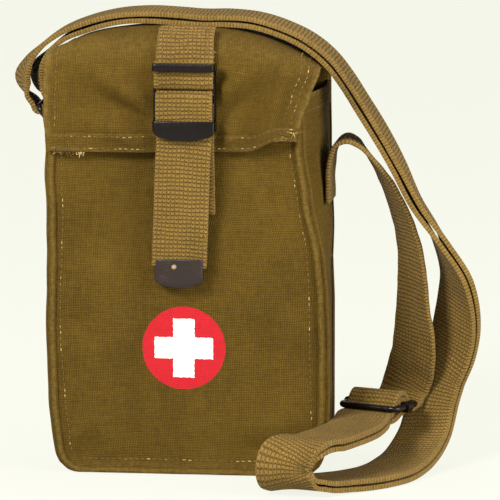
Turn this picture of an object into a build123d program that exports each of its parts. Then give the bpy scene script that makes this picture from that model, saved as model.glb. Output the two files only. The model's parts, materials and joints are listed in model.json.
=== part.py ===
from build123d import *
import math
import os

# First aid kit: a flapped canvas pouch with a web closure, a web shoulder strap and its contents.
# Millimetres. The origin is the middle of the bag's bottom, +X right, the front faces -Y, +Z up.

# ---- driving dimensions: the bag ----
BAG_WIDTH = 150.0
BAG_DEPTH = 76.0
BODY_HEIGHT = 216.0
CANVAS = 1.5
CORNER_RADIUS = 12.0
CREST_RISE = 34.0
FLAP_SLOPE = 2.0
SHOULDER_RISE = 10.0
BOW_RISE = 36.0
CREST_RADIUS = 30.0
BROW_RADIUS = 22.0
LIP_DROP = 31.0
FLAP_OVERHANG = 2.0
FLAP_GAP = 1.5
WELT_WIDTH = 4.0
WELT_PROUD = 2.5
HEM_HEIGHT = 11.0
HEM_THICK = 1.0

# ---- driving dimensions: webbing and hardware ----
WEB_WIDTH = 31.0
WEB_THICK = 2.4
CLEAR = 0.3
SIDE_PLAY = 0.5
RAIL_WIDTH = 1.8
BAR_THICK = 2.2
BAR_HEIGHT = 4.5
WIRE = 3.6
LAYER_GAP = 1.6
RING_SPAN = 12.0
BAR_PLAY = 1.0
RAIL_PLAY = 0.4
LAYER_PLAY = 1.2

# ---- driving dimensions: the contents ----
DIVIDER_THICK = 1.2
REAR_POCKET = 17.3
PACK_GAP = 0.6
ROLL_RADIUS = 22.0
ROLL_HEIGHT = 75.0
BOTTLE_RADIUS = 18.0
BOTTLE_BODY = 56.0
CAP_RADIUS = 11.0
CAP_HEIGHT = 14.0
TAPE_RADIUS = 25.5
TAPE_HEIGHT = 25.0
SPOOL_BORE = 10.0
SPOOL_WALL = 1.5
DRESSING_BOX_HEIGHT = 25.0
DRESSING_HEIGHT = 32.0
GAUZE_HEIGHT = 25.0
TRIANGULAR_HEIGHT = 26.0
SCISSOR_STEEL = 1.6
SCISSOR_LENGTH = 112.0
FINGER_BORE = 18.0
TWEEZER_LENGTH = 90.0
TWEEZER_WIDTH = 8.0
TWEEZER_STEEL = 1.4

# ---- places that follow ----
FRONT_Y = -BAG_DEPTH / 2
BACK_Y = BAG_DEPTH / 2
SIDE_X = BAG_WIDTH / 2
INNER_FRONT_Y = FRONT_Y + CANVAS
INNER_BACK_Y = BACK_Y - CANVAS
INNER_X = SIDE_X - CANVAS
DIVIDER_Y = INNER_BACK_Y - REAR_POCKET
FLAP_CREST = BODY_HEIGHT + CREST_RISE
FLAP_SHOULDER = BODY_HEIGHT + SHOULDER_RISE
FLAP_BOW = BODY_HEIGHT + BOW_RISE
FLAP_LIP_Z = BODY_HEIGHT - LIP_DROP
FLAP_INNER_Y = FRONT_Y - WELT_PROUD - FLAP_GAP
FLAP_OUTER_Y = FLAP_INNER_Y - CANVAS
HINGE_Y = BACK_Y + CANVAS / 2
HINGE_Z = BODY_HEIGHT + CANVAS / 2

# the closure's layers, from the flap outwards: webbing, bar, webbing, outer plate
BACK_LAYER_Y = FLAP_OUTER_Y - HEM_THICK - CLEAR - WEB_THICK / 2
BAR_Y = BACK_LAYER_Y - WEB_THICK / 2 - CLEAR - BAR_THICK / 2
FRONT_LAYER_Y = BAR_Y - BAR_THICK / 2 - CLEAR - WEB_THICK / 2
PLATE_Y = FRONT_LAYER_Y - WEB_THICK / 2 - CLEAR - BAR_THICK / 2
WRAP_RADIUS = BAR_THICK / 2 + CLEAR + WEB_THICK / 2
LIP_HEIGHT = 11.0
TAIL_TOP_Z = FLAP_LIP_Z + 3.0
LIP_Z = TAIL_TOP_Z + 4.2
LOWER_BAR_Z = LIP_Z + LIP_HEIGHT + 9.5
UPPER_BAR_Z = LOWER_BAR_Z + BAR_HEIGHT - BAR_THICK + 2 * WRAP_RADIUS + WEB_THICK + CLEAR
TOP_BAR_Z = UPPER_BAR_Z + 8.0
PATCH_Z = TOP_BAR_Z + BAR_HEIGHT + 1.4
BUCKLE_HALF = WEB_WIDTH / 2 + SIDE_PLAY + RAIL_WIDTH
TAIL_LENGTH = 72.0
TAIL_LEAN = 3.9
ANCHOR_Z = FLAP_LIP_Z - 36.0
ANCHOR_TOP_Z = FLAP_LIP_Z - 17.0
ANCHOR_STEP_Z = FLAP_LIP_Z - 2.0
TIP_HEIGHT = 17.0
TIP_WIDTH = WEB_WIDTH - 3.0
TIP_WALL = 0.9
TIP_ROUND = 5.0
RIVET_RADIUS = 1.4
RIVET_PROUD = 0.2
RIVET_X = -2.6

# the ring and the chape on the left gusset
CHAPE_X = -SIDE_X - CLEAR - WEB_THICK / 2
RING_WRAP = WIRE / 2 + CLEAR + WEB_THICK / 2
RING_X = CHAPE_X - RING_WRAP
RING_Z = BODY_HEIGHT - 20.5
RING_ANGLE = 128.0
RING_LENGTH = WEB_WIDTH + 2 * SIDE_PLAY + WIRE + 1.0
RING_TOP_X = RING_X + RING_SPAN * math.cos(math.radians(RING_ANGLE))
RING_TOP_Z = RING_Z + RING_SPAN * math.sin(math.radians(RING_ANGLE))

# the slider: its middle, the heading of the strap through it
SLIDER_PLACE = (SIDE_X + WEB_WIDTH / 2 + 13.5, 0.0, 36.0)
SLIDER_TURN = 66.4
SLIDER_LENGTH = WEB_WIDTH + 2 * SIDE_PLAY + WIRE + 0.8
BAR_REACH = WIRE / 2 + BAR_PLAY + WEB_THICK / 2
GAP_ALONG = BAR_REACH + WEB_THICK + 2.5
SLIDER_OPENING = 2 * (GAP_ALONG + WEB_THICK / 2 + 0.1)
SLIDER_SPAN = SLIDER_OPENING + WIRE
UNDER_RAIL = WIRE / 2 + WEB_THICK / 2 + RAIL_PLAY
UNDER_LAYER = UNDER_RAIL + WEB_THICK + LAYER_PLAY
HUMP_TOP = BAR_REACH + WEB_THICK + RAIL_PLAY
COIL_Z = 48.0
LAYER_STEP = WEB_THICK + LAYER_GAP
DOUBLED = 1.5 * WEB_THICK
STRAP_BED = BODY_HEIGHT + DOUBLED

# The shoulder strap's route along its middle. Each station is x, y, z and the turn in degrees of
# its width away from +Y. The width points from the near selvedge to the far one.
#
# LEFT_RISE: x out from the left side, z up from the mouth and the doubled web that lies over it.
LEFT_RISE = [
    (-20.6, 0.0, -8.6, 0.0),
    (-21.6, 0.0, -1.6, 0.0),
    (-19.6, 0.0, 6.9, 0.0),
    (-13.6, 0.0, 16.4, 0.0),
    (-1.0, 0.0, 26.4, 0.0),
]
# ACROSS_TOP: x as a share of half the width, z up from there too.
ACROSS_TOP = [
    (-0.807, 0.0, 33.0, 0.0),
    (-0.6, 0.0, 37.0, 0.0),
    (-0.36, 0.0, 38.6, 0.0),
    (-0.12, 0.0, 38.0, 0.0),
    (0.067, 0.0, 37.0, 0.0),
    (0.253, 0.0, 37.2, 0.0),
    (0.44, 0.0, 36.2, 0.0),
    (0.64, 0.0, 32.2, 0.0),
    (0.853, 0.0, 25.0, 0.0),
]
# RIGHT_FALL: x out from the right side, z as a share of the way up from the coil to the mouth.
RIGHT_FALL = [
    (0.647, 0.0, 1.105, 0.0),
    (8.824, 0.0, 1.036, 0.0),
    (16.405, 0.0, 0.958, 0.0),
    (25.701, 0.0, 0.857, 0.0),
    (34.855, 0.0, 0.744, 2.0),
    (44.296, 0.0, 0.613, 6.0),
    (56.308, 2.0, 0.488, 14.0),
    (62.892, 8.0, 0.369, 28.0),
    (61.805, 15.0, 0.244, 45.0),
    (54.934, 22.0, 0.095, 56.0),
]
# ON_TABLE and U_TURN: x out from the right side and half the web's width, z up from the table.
ON_TABLE = [
    (47.2, 24.0, 47.6, 60.0),
    (43.7, 21.5, 34.0, 61.0),
    (40.0, 11.0, 18.0, 62.0),
    (34.0, -8.0, 7.0, 63.0),
    (26.5, -30.0, 2.4, 64.0),
    (16.5, -53.0, 1.8, 62.0),
    (-2.5, -73.0, 2.2, 62.0),
    (-17.5, -87.0, 3.6, 72.0),
]
U_TURN = [
    (-25.0, -95.0, 6.2, 82.0),
    (-28.5, -99.8, 11.0, 88.0),
    (-29.0, -101.2, 16.4, 90.0),
    (-28.0, -100.0, 22.0, 88.0),
    (-24.5, -96.0, 26.8, 82.0),
    (-19.0, -90.0, 29.6, 76.0),
    (-10.5, -78.0, 29.8, 80.0),
    (-2.0, -61.5, 30.4, 76.0),
    (4.0, -44.0, 31.0, 72.0),
    (6.5, -27.0, 31.8, 69.0),
]
# BESIDE_SLIDER is given as ON_TABLE is, and SIDE_RISE as RIGHT_FALL is.
BESIDE_SLIDER = [
    (22.8, 20.5, 34.5, 66.0),
    (25.7, 24.2, 40.5, 63.0),
    (28.3, 23.5, 48.0, 60.0),
]
SIDE_RISE = [
    (31.707, 19.5, 0.06, 55.0),
    (33.999, 15.5, 0.143, 51.0),
    (34.845, 12.5, 0.256, 40.0),
    (35.679, 11.0, 0.351, 35.0),
    (35.614, 9.5, 0.446, 31.0),
    (32.072, 7.0, 0.569, 26.0),
    (28.908, 5.0, 0.631, 23.0),
    (23.001, 3.0, 0.714, 18.0),
    (15.813, 1.0, 0.783, 12.0),
    (10.732, 0.4, 0.818, 7.0),
    (5.388, 0.0, 0.831, 3.0),
    (0.247, 0.0, 0.819, 0.0),
    (-2.915, 0.0, 0.789, 0.0),
]
# BESIDE_RING is given as LEFT_RISE is.
BESIDE_RING = [
    (-12.2, 0.0, -5.6, 0.0),
    (-13.4, 0.0, 2.4, 0.0),
    (-9.4, 0.0, 12.6, 0.0),
]
# ROUND_RING: x and z from the ring's upper bar, in turns' radii, on the outer layer's side.
ROUND_RING = [(0.0, -1.09), (0.788, -0.727), (1.303, 0.182)]
INNER_JOINS = 7

os.makedirs("parts", exist_ok=True)


def save(shape, name):
    """Write one node to its own file."""
    export_step(shape, f"parts/{name}.step")


def block(x0, x1, y0, y1, z0, z1):
    """A box between two corners."""
    size = Box(x1 - x0, y1 - y0, z1 - z0)
    return Pos((x0 + x1) / 2, (y0 + y1) / 2, (z0 + z1) / 2) * size


def across(face, width, middle=0.0):
    """Extrude a face drawn in YZ along X, centred on middle."""
    return Pos(middle - width / 2, 0, 0) * extrude(Plane.YZ * face, amount=width)


def through(face, y0, y1):
    """Extrude a face drawn in XZ between two places along Y."""
    return Pos(0, y1, 0) * extrude(Plane.XZ * face, amount=y1 - y0)


def body_outline(inset=0.0):
    """The bag's front outline, square at the mouth and rounded at the bottom, in XZ."""
    half = SIDE_X - inset
    top = BODY_HEIGHT
    radius = CORNER_RADIUS - inset
    with BuildLine() as outline:
        Polyline((-half, top), (-half, inset + radius))
        ThreePointArc(
            (-half, inset + radius),
            (-half + radius * (1 - math.sqrt(0.5)), inset + radius * (1 - math.sqrt(0.5))),
            (-half + radius, inset),
        )
        Line((-half + radius, inset), (half - radius, inset))
        ThreePointArc(
            (half - radius, inset),
            (half - radius * (1 - math.sqrt(0.5)), inset + radius * (1 - math.sqrt(0.5))),
            (half, inset + radius),
        )
        Polyline((half, inset + radius), (half, top), (-half, top))
    return make_face(outline.line)


def strap_planes(stations, before=None, after=None):
    """The strap's cross-section planes along a route: X across the webbing, Y out of its face.

    The first and last planes face the stations that come before and after the route.
    """
    planes = []
    for k, station in enumerate(stations):
        behind = stations[k - 1] if k else before or station
        ahead = stations[k + 1] if k + 1 < len(stations) else after or station
        run = (Vector(*ahead[:3]) - Vector(*behind[:3])).normalized()
        turn = math.radians(station[3])
        wide = Vector(-math.sin(turn), math.cos(turn), 0)
        wide = (wide - run * wide.dot(run)).normalized()
        planes.append(Plane(origin=station[:3], x_dir=wide, z_dir=run))
    return planes


def one_layer_in(planes):
    """The same planes one layer of webbing further in, away from the strap's outer face."""
    moved = []
    for plane in planes:
        place = plane.origin - plane.y_dir * LAYER_STEP
        moved.append(Plane(origin=place, x_dir=plane.x_dir, z_dir=plane.z_dir))
    return moved


def beside(stations, side):
    """Stations given out from one side of the bag and up from its mouth."""
    return [(side * SIDE_X + x, y, STRAP_BED + z, turn) for x, y, z, turn in stations]


def over(stations):
    """Stations given as a share of half the width and up from the mouth."""
    return [(SIDE_X * x, y, STRAP_BED + z, turn) for x, y, z, turn in stations]


def between(stations):
    """Stations given out from the right side, and as a share of the way from the coil to the mouth."""
    placed = []
    for x, y, share, turn in stations:
        aside = (1 - share) * WEB_WIDTH / 2 + share * DOUBLED
        placed.append((SIDE_X + aside + x, y, COIL_Z + share * (BODY_HEIGHT - COIL_Z), turn))
    return placed


def on_table(stations):
    """Stations given out from the right side and half the web's width, and up from the table."""
    return [(SIDE_X + WEB_WIDTH / 2 + x, y, z, turn) for x, y, z, turn in stations]


def round_ring(side):
    """Stations round the ring's upper bar, towards one side along X."""
    return [
        (RING_TOP_X + side * RING_WRAP * x, 0, RING_TOP_Z + RING_WRAP * z, 0) for x, z in ROUND_RING
    ]


def webbing(planes):
    """Webbing through cross-section planes, as one ruled solid."""
    section = Rectangle(WEB_WIDTH, WEB_THICK)
    return loft([plane * section for plane in planes], ruled=True)


def slider_station(along, up):
    """A station of the strap in the slider, from its place along the run and above the rails."""
    turn = math.radians(SLIDER_TURN)
    x, y, z = SLIDER_PLACE
    return (x + along * math.cos(turn), y + along * math.sin(turn), z + up, SLIDER_TURN)


# ---- the bag's canvas ----
def front_panel():
    return through(body_outline(), FRONT_Y, INNER_FRONT_Y)


def back_panel():
    return through(body_outline(), INNER_BACK_Y, BACK_Y)


def gusset():
    """One strip: left side, bottom and right side."""
    ring = body_outline() - body_outline(CANVAS)
    ring -= Pos(0, BODY_HEIGHT) * Rectangle(2 * INNER_X, 2 * CANVAS)
    return through(ring, INNER_FRONT_Y, INNER_BACK_Y)


def front_welt():
    """The stood-up edge of the front panel, on its two sides and its bottom."""
    band = body_outline() - body_outline(WELT_WIDTH)
    under_flap = Pos(0, BODY_HEIGHT) * Rectangle(2 * SIDE_X, 2 * (BODY_HEIGHT - FLAP_LIP_Z + 3))
    return through(band - under_flap, FRONT_Y - WELT_PROUD, FRONT_Y)


def gusset_welt():
    """The seam's second rib, which stands out of each side just behind the front edge."""
    y0 = FRONT_Y + 2.0
    z0, z1 = CORNER_RADIUS, BODY_HEIGHT - HEM_HEIGHT
    rib = block(SIDE_X, SIDE_X + WELT_PROUD, y0, y0 + WELT_WIDTH, z0, z1)
    return Compound([rib, mirror(rib, Plane.YZ)])


def back_binding():
    """Flat tape over the rear seam, on each side."""
    tape = block(SIDE_X, SIDE_X + HEM_THICK, BACK_Y - 12.0, BACK_Y, CORNER_RADIUS, BODY_HEIGHT)
    return Compound([tape, mirror(tape, Plane.YZ)])


def mouth_hem():
    """Doubled canvas outside the mouth: a front band and one on each side."""
    z0 = BODY_HEIGHT - HEM_HEIGHT
    front = block(-SIDE_X, SIDE_X, FRONT_Y - HEM_THICK, FRONT_Y, z0, BODY_HEIGHT)
    y1 = BACK_Y - 12.0 - CLEAR
    side = block(SIDE_X, SIDE_X + HEM_THICK, FRONT_Y, y1, z0, BODY_HEIGHT)
    return Compound([front, side, mirror(side, Plane.YZ)])


def divider():
    """The canvas wall in front of the rear pocket."""
    y0 = DIVIDER_Y - DIVIDER_THICK
    half = INNER_X - CLEAR
    return block(-half, half, y0, DIVIDER_Y, CORNER_RADIUS, BODY_HEIGHT - 22.0)


# ---- the flap ----
def under_flap_curve(inset):
    """All that lies under the flap's curve in YZ, drawn in by inset from its outer face."""
    back, front = HINGE_Y + CANVAS / 2 - inset, FLAP_OUTER_Y + inset
    back_top, front_top = FLAP_CREST - FLAP_SLOPE - inset, FLAP_CREST + FLAP_SLOPE - inset
    radii = [CREST_RADIUS - inset, BROW_RADIUS - inset]
    low = FLAP_LIP_Z - 50.0
    with BuildLine() as curve:
        FilletPolyline(
            (back, HINGE_Z), (back, back_top), (front, front_top), (front, FLAP_LIP_Z), radius=radii
        )
        Polyline((front, FLAP_LIP_Z), (front, low), (back, low), (back, HINGE_Z))
    return make_face(curve.line)


def under_flap_bow(inset):
    """All that lies under the flap's bow from side to side, as a block through the bag."""
    half = BAG_WIDTH / 2 + FLAP_OVERHANG
    low = FLAP_LIP_Z - 60.0
    with BuildLine() as bow:
        ThreePointArc((-half, FLAP_SHOULDER - inset), (0, FLAP_BOW - inset), (half, FLAP_SHOULDER - inset))
        Polyline((half, FLAP_SHOULDER - inset), (half, low), (-half, low), (-half, FLAP_SHOULDER - inset))
    return through(make_face(bow.line), 2 * FRONT_Y, 2 * BACK_Y)


def flap_panel():
    """A bowed sheet from the hinge over the mouth and down to the lip, open at both sides."""
    width = BAG_WIDTH + 2 * FLAP_OVERHANG
    outside = across(under_flap_curve(0.0), width) & under_flap_bow(0.0)
    inside = across(under_flap_curve(CANVAS), width) & under_flap_bow(CANVAS)
    sheet = outside - inside
    sheet -= block(-width, width, 2 * FRONT_Y, 2 * BACK_Y, 0, FLAP_LIP_Z)
    return sheet - block(-width, width, BACK_Y - WELT_PROUD, 2 * BACK_Y, 0, HINGE_Z)


def flap_hem():
    """The doubled band along the lip, outside the flap."""
    width = BAG_WIDTH + 2 * FLAP_OVERHANG
    y0, z1 = FLAP_OUTER_Y - HEM_THICK, FLAP_LIP_Z + HEM_HEIGHT
    return block(-width / 2, width / 2, y0, FLAP_OUTER_Y, FLAP_LIP_Z, z1)


def flap_webbing():
    """The box-stitched patch on the brow of the flap, two layers deep."""
    layers = under_flap_curve(-2 * WEB_THICK) - under_flap_curve(0.0)
    zone = Pos(FLAP_OUTER_Y - 10, PATCH_Z + 25) * Rectangle(2 * 24, 2 * 25)
    return across(layers & zone, WEB_WIDTH)


# ---- the buckle ----
def buckle_loop():
    """Webbing down behind the upper crossbar and up again in front of it."""
    wrap_z = UPPER_BAR_Z + BAR_THICK / 2
    outer = Pos(BAR_Y, wrap_z) * Circle(WRAP_RADIUS + WEB_THICK / 2)
    inner = Pos(BAR_Y, wrap_z) * Circle(WRAP_RADIUS - WEB_THICK / 2)
    rise = PATCH_Z - CLEAR - wrap_z
    outer += Pos(BAR_Y, wrap_z + rise / 2) * Rectangle(2 * WRAP_RADIUS + WEB_THICK, rise)
    inner += Pos(BAR_Y, wrap_z + rise / 2) * Rectangle(2 * WRAP_RADIUS - WEB_THICK, rise)
    outer -= Pos(BAR_Y, wrap_z + rise + 10) * Rectangle(40, 20)
    return across(outer - inner, WEB_WIDTH)


def crossbar(z0, rounded_low):
    """A crossbar between the rails, round along the edge that the webbing turns on."""
    y0, y1 = BAR_Y - BAR_THICK / 2, BAR_Y + BAR_THICK / 2
    bar = block(-BUCKLE_HALF, BUCKLE_HALF, y0, y1, z0, z0 + BAR_HEIGHT)
    edges = bar.edges().filter_by(Axis.X).group_by(Axis.Z)[0 if rounded_low else -1]
    return fillet(edges, BAR_THICK / 2 - 0.01)


def buckle_frame():
    """One stamped piece: top bar, two crossbars, two rails and a curved thumb lip."""
    y_out, y_in = PLATE_Y - BAR_THICK / 2, BAR_Y + BAR_THICK / 2
    top = TOP_BAR_Z + BAR_HEIGHT
    frame = crossbar(LOWER_BAR_Z, False) + crossbar(UPPER_BAR_Z, True)
    for side in (-1, 1):
        x = side * (BUCKLE_HALF - RAIL_WIDTH / 2)
        frame += block(x - RAIL_WIDTH / 2, x + RAIL_WIDTH / 2, y_out, y_in, LIP_Z + 3.5, top)
    bar = block(-BUCKLE_HALF, BUCKLE_HALF, y_out, y_out + BAR_THICK, TOP_BAR_Z, top)
    frame += fillet(bar.edges().filter_by(Axis.Y).group_by(Axis.Z)[-1], 2.0)
    with BuildLine() as lip:
        ThreePointArc((-BUCKLE_HALF, LIP_Z + 3.5), (0, LIP_Z), (BUCKLE_HALF, LIP_Z + 3.5))
        Polyline(
            (BUCKLE_HALF, LIP_Z + 3.5), (BUCKLE_HALF, LIP_Z + LIP_HEIGHT),
            (-BUCKLE_HALF, LIP_Z + LIP_HEIGHT), (-BUCKLE_HALF, LIP_Z + 3.5),
        )
    frame += through(make_face(lip.line), y_out, y_out + BAR_THICK)
    return frame


# ---- the closure strap ----
def closure_strap():
    """Sewn to the front panel, up behind the lip, over the lower crossbar and down again."""
    anchor_y = FRONT_Y - CLEAR - WEB_THICK / 2
    bend_z = LOWER_BAR_Z + BAR_HEIGHT - BAR_THICK / 2
    with BuildLine() as run:
        Polyline(
            (anchor_y, ANCHOR_Z), (anchor_y, ANCHOR_TOP_Z),
            (BACK_LAYER_Y, ANCHOR_STEP_Z), (BACK_LAYER_Y, bend_z),
        )
        ThreePointArc((BACK_LAYER_Y, bend_z), (BAR_Y, bend_z + WRAP_RADIUS), (FRONT_LAYER_Y, bend_z))
        Line((FRONT_LAYER_Y, bend_z), (FRONT_LAYER_Y, TAIL_TOP_Z + 0.4))
    return across(trace(run.line, WEB_THICK), WEB_WIDTH)


def rivet_pin(length):
    """The rivet's shank through the tip, before the tail is leaned."""
    z = TAIL_TOP_Z - TAIL_LENGTH + 3.5
    return Pos(RIVET_X, FRONT_LAYER_Y, z) * Rot(90, 0, 0) * Cylinder(RIVET_RADIUS, length)


def leaned(shape):
    """Turn a piece of the tail about its top edge so that its foot lies towards the bag."""
    edge = Axis((0, FRONT_LAYER_Y - WEB_THICK / 2, TAIL_TOP_Z), (1, 0, 0))
    return shape.rotate(edge, TAIL_LEAN)


def strap_tail():
    y0 = FRONT_LAYER_Y - WEB_THICK / 2
    foot = TAIL_TOP_Z - TAIL_LENGTH
    y1, neck = y0 + WEB_THICK, foot + TIP_HEIGHT / 2
    strip = block(-WEB_WIDTH / 2, WEB_WIDTH / 2, y0, y1, neck, TAIL_TOP_Z)
    tongue = block(-TIP_WIDTH / 2 + TIP_WALL, TIP_WIDTH / 2 - TIP_WALL, y0, y1, foot, neck)
    return leaned(strip + tongue - rivet_pin(10))


def strap_tip():
    """A folded metal channel, rounded at its foot, closed over the end of the tail."""
    foot = TAIL_TOP_Z - TAIL_LENGTH
    top = foot + TIP_HEIGHT / 2 - CLEAR
    half = WEB_THICK / 2 + TIP_WALL
    y0, y1 = FRONT_LAYER_Y - half, FRONT_LAYER_Y + half
    shell = block(-TIP_WIDTH / 2, TIP_WIDTH / 2, y0, y1, top - TIP_HEIGHT, top)
    shell = fillet(shell.edges().filter_by(Axis.Y).group_by(Axis.Z)[0], TIP_ROUND)
    inside = TIP_WIDTH / 2 - TIP_WALL
    shell -= block(-inside, inside, y0 + TIP_WALL, y1 - TIP_WALL, foot, foot + TIP_HEIGHT)
    return leaned(shell - rivet_pin(10))


def tip_rivet():
    return leaned(rivet_pin(WEB_THICK + 2 * TIP_WALL + 2 * RIVET_PROUD))


# ---- the ring and its chape ----
def ring_chape():
    """Webbing up the gusset, over the ring's lower bar and down again, sewn together below."""
    sewn_x = CHAPE_X - WEB_THICK - CLEAR
    with BuildLine() as run:
        Line((CHAPE_X, RING_Z - 27.0), (CHAPE_X, RING_Z))
        ThreePointArc((CHAPE_X, RING_Z), (RING_X, RING_Z + RING_WRAP), (RING_X - RING_WRAP, RING_Z))
        Polyline((RING_X - RING_WRAP, RING_Z), (sewn_x, RING_Z - 12.0), (sewn_x, RING_Z - 27.0))
    return through(trace(run.line, WEB_THICK), -WEB_WIDTH / 2, WEB_WIDTH / 2)


def wire_frame(span, length, corner):
    """A closed rectangle of round wire in XY: span along X, length along Y."""
    path = Plane.XY * RectangleRounded(span, length, corner).wire()
    start = Plane(origin=path @ 0, z_dir=path % 0)
    return sweep(start * Circle(WIRE / 2), path=path)


def strap_ring():
    frame = wire_frame(RING_SPAN, RING_LENGTH, 3.0)
    middle = Pos((RING_X + RING_TOP_X) / 2, 0, (RING_Z + RING_TOP_Z) / 2)
    return middle * Rot(0, -RING_ANGLE, 0) * frame


# ---- the shoulder strap and its slider ----
def slider_place():
    """The slider's own frame: X along the strap's run, Y along the rails."""
    return Pos(*SLIDER_PLACE) * Rot(0, 0, SLIDER_TURN)


def slider_frame():
    return slider_place() * wire_frame(SLIDER_SPAN, SLIDER_LENGTH, 4.0)


def slider_bar():
    """The middle bar, whose ends curl round the frame's two sides."""
    reach = SLIDER_LENGTH / 2
    bar = Rot(90, 0, 0) * Cylinder(WIRE / 2, 2 * (reach - WIRE / 2 - 0.6))
    for side in (-1, 1):
        bar += Pos(0, side * reach, 0) * Rot(0, 90, 0) * Cylinder(WIRE / 2 + 1.3, 5.0)
    for side in (-1, 1):
        bar -= Pos(0, side * reach, 0) * Rot(0, 90, 0) * Cylinder(WIRE / 2 + 0.15, 20.0)
    return slider_place() * bar


RISE = HUMP_TOP + UNDER_RAIL
SLIDER_HUMP = [
    (-SLIDER_OPENING / 2 - 4.8, -UNDER_RAIL),
    (-SLIDER_OPENING / 2 - 1.3, -UNDER_RAIL + 0.1),
    (-GAP_ALONG, -UNDER_RAIL + 0.157 * RISE),
    (-BAR_REACH - WEB_THICK - 0.7, -UNDER_RAIL + 0.451 * RISE),
    (-BAR_REACH - WEB_THICK / 2, -UNDER_RAIL + 0.765 * RISE),
    (-0.55 * BAR_REACH, HUMP_TOP),
]
BAR_TURN = [
    (-SLIDER_OPENING / 2 - 4.8, -UNDER_LAYER - 0.2),
    (-SLIDER_OPENING / 2 + 0.2, -UNDER_LAYER),
    (-1.25 * BAR_REACH, -UNDER_LAYER + 1.2),
    (-0.4 * BAR_REACH, -1.05 * BAR_REACH),
    (0.45 * BAR_REACH, -0.9 * BAR_REACH),
    (0.925 * BAR_REACH, -0.425 * BAR_REACH),
    (BAR_REACH, 0.2 * BAR_REACH),
    (0.7 * BAR_REACH, 0.75 * BAR_REACH),
    (0.05 * BAR_REACH, BAR_REACH),
    (-0.6 * BAR_REACH, 0.85 * BAR_REACH),
    (-BAR_REACH, 0.35 * BAR_REACH),
]
THROUGH_SLIDER = [slider_station(along, up) for along, up in SLIDER_HUMP]
THROUGH_SLIDER += [slider_station(-along, up) for along, up in reversed(SLIDER_HUMP)]


OVER_THE_TOP = round_ring(-1) + beside(LEFT_RISE, -1) + over(ACROSS_TOP) + between(RIGHT_FALL)
OVER_THE_TOP += on_table(ON_TABLE + U_TURN)
OUTER_ROUTE = OVER_THE_TOP + THROUGH_SLIDER
BACK_FROM_RING = round_ring(1) + beside(BESIDE_RING, -1)
FREE_END = on_table(BESIDE_SLIDER) + between(SIDE_RISE) + [
    (SIDE_X + CLEAR + WEB_THICK / 2 + 0.2, 0.0, FLAP_LIP_Z - 13.0, 0),
    (SIDE_X + CLEAR + WEB_THICK / 2, 0.0, FLAP_LIP_Z - 33.0, 0),
]


def shoulder_strap_outer():
    """From the ring over the bag, round on the table and into the slider, to its far side."""
    return webbing(strap_planes(OUTER_ROUTE, before=BACK_FROM_RING[1], after=FREE_END[0]))


def shoulder_strap_side():
    """From the slider up beside the bag, over a free bend and down to where it is sewn."""
    return webbing(strap_planes(THROUGH_SLIDER[-1:] + FREE_END, before=THROUGH_SLIDER[-2]))


def shoulder_strap_inner():
    """Back from the ring beside the outer layer, to the middle bar that it is sewn round."""
    beside = one_layer_in(strap_planes(OUTER_ROUTE)[INNER_JOINS:len(OVER_THE_TOP)])
    sewn_end = [slider_station(along, up) for along, up in BAR_TURN]
    start = strap_planes(BACK_FROM_RING, before=OVER_THE_TOP[1], after=OVER_THE_TOP[INNER_JOINS])
    return webbing(start + beside + strap_planes(sewn_end, before=OVER_THE_TOP[-1]))


# ---- the contents ----
MIDDLE_Y = (INNER_FRONT_Y + DIVIDER_Y - DIVIDER_THICK) / 2
FLOOR_Z = CANVAS + PACK_GAP
ROLL_A_X = -SIDE_X + CORNER_RADIUS - 2.0 + ROLL_RADIUS
ROLL_B_X = ROLL_A_X + 2 * ROLL_RADIUS + PACK_GAP
BOTTLE_X = ROLL_B_X + ROLL_RADIUS + BOTTLE_RADIUS + PACK_GAP
TAPE_Z = FLOOR_Z + ROLL_HEIGHT + PACK_GAP
TAPE_X = -INNER_X + TAPE_RADIUS + 4.0
DRESSING_BOX_X = TAPE_X + TAPE_RADIUS + PACK_GAP
DRESSING_Z = TAPE_Z + max(TAPE_HEIGHT, DRESSING_BOX_HEIGHT) + PACK_GAP
GAUZE_Z = DRESSING_Z + DRESSING_HEIGHT + PACK_GAP
TRIANGULAR_Z = GAUZE_Z + GAUZE_HEIGHT + PACK_GAP
PACK_DEPTH = DIVIDER_Y - DIVIDER_THICK - INNER_FRONT_Y - 2 * PACK_GAP
POCKET_Y = (DIVIDER_Y + INNER_BACK_Y) / 2


def roll(x):
    """A roller bandage stood on end."""
    core = Pos(x, MIDDLE_Y, FLOOR_Z + ROLL_HEIGHT / 2) * Cylinder(ROLL_RADIUS, ROLL_HEIGHT)
    return fillet(core.edges(), 2.0)


def soft_pack(width, z0, height, x=0.0):
    """A soft packet laid flat, rounded all over."""
    packet = Pos(x, MIDDLE_Y, z0 + height / 2) * Box(width, PACK_DEPTH, height)
    return fillet(packet.edges(), height / 5)


def dressing_box():
    x1 = INNER_X - 6.0
    y0, y1 = MIDDLE_Y - PACK_DEPTH / 2, MIDDLE_Y + PACK_DEPTH / 2
    return block(DRESSING_BOX_X, x1, y0, y1, TAPE_Z, TAPE_Z + DRESSING_BOX_HEIGHT)


def bottle():
    """Body, shoulder and neck, with a bore that starts at the mouth."""
    body = Pos(0, 0, BOTTLE_BODY / 2) * Cylinder(BOTTLE_RADIUS, BOTTLE_BODY)
    body = fillet(body.edges(), 4.0)
    neck = Pos(0, 0, BOTTLE_BODY + 4.0) * Cylinder(CAP_RADIUS - 2.5, 10.0)
    bore = Pos(0, 0, BOTTLE_BODY + 2.0) * Cylinder(CAP_RADIUS - 4.5, 20.0)
    return Pos(BOTTLE_X, MIDDLE_Y, FLOOR_Z) * (body + neck - bore)


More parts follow.
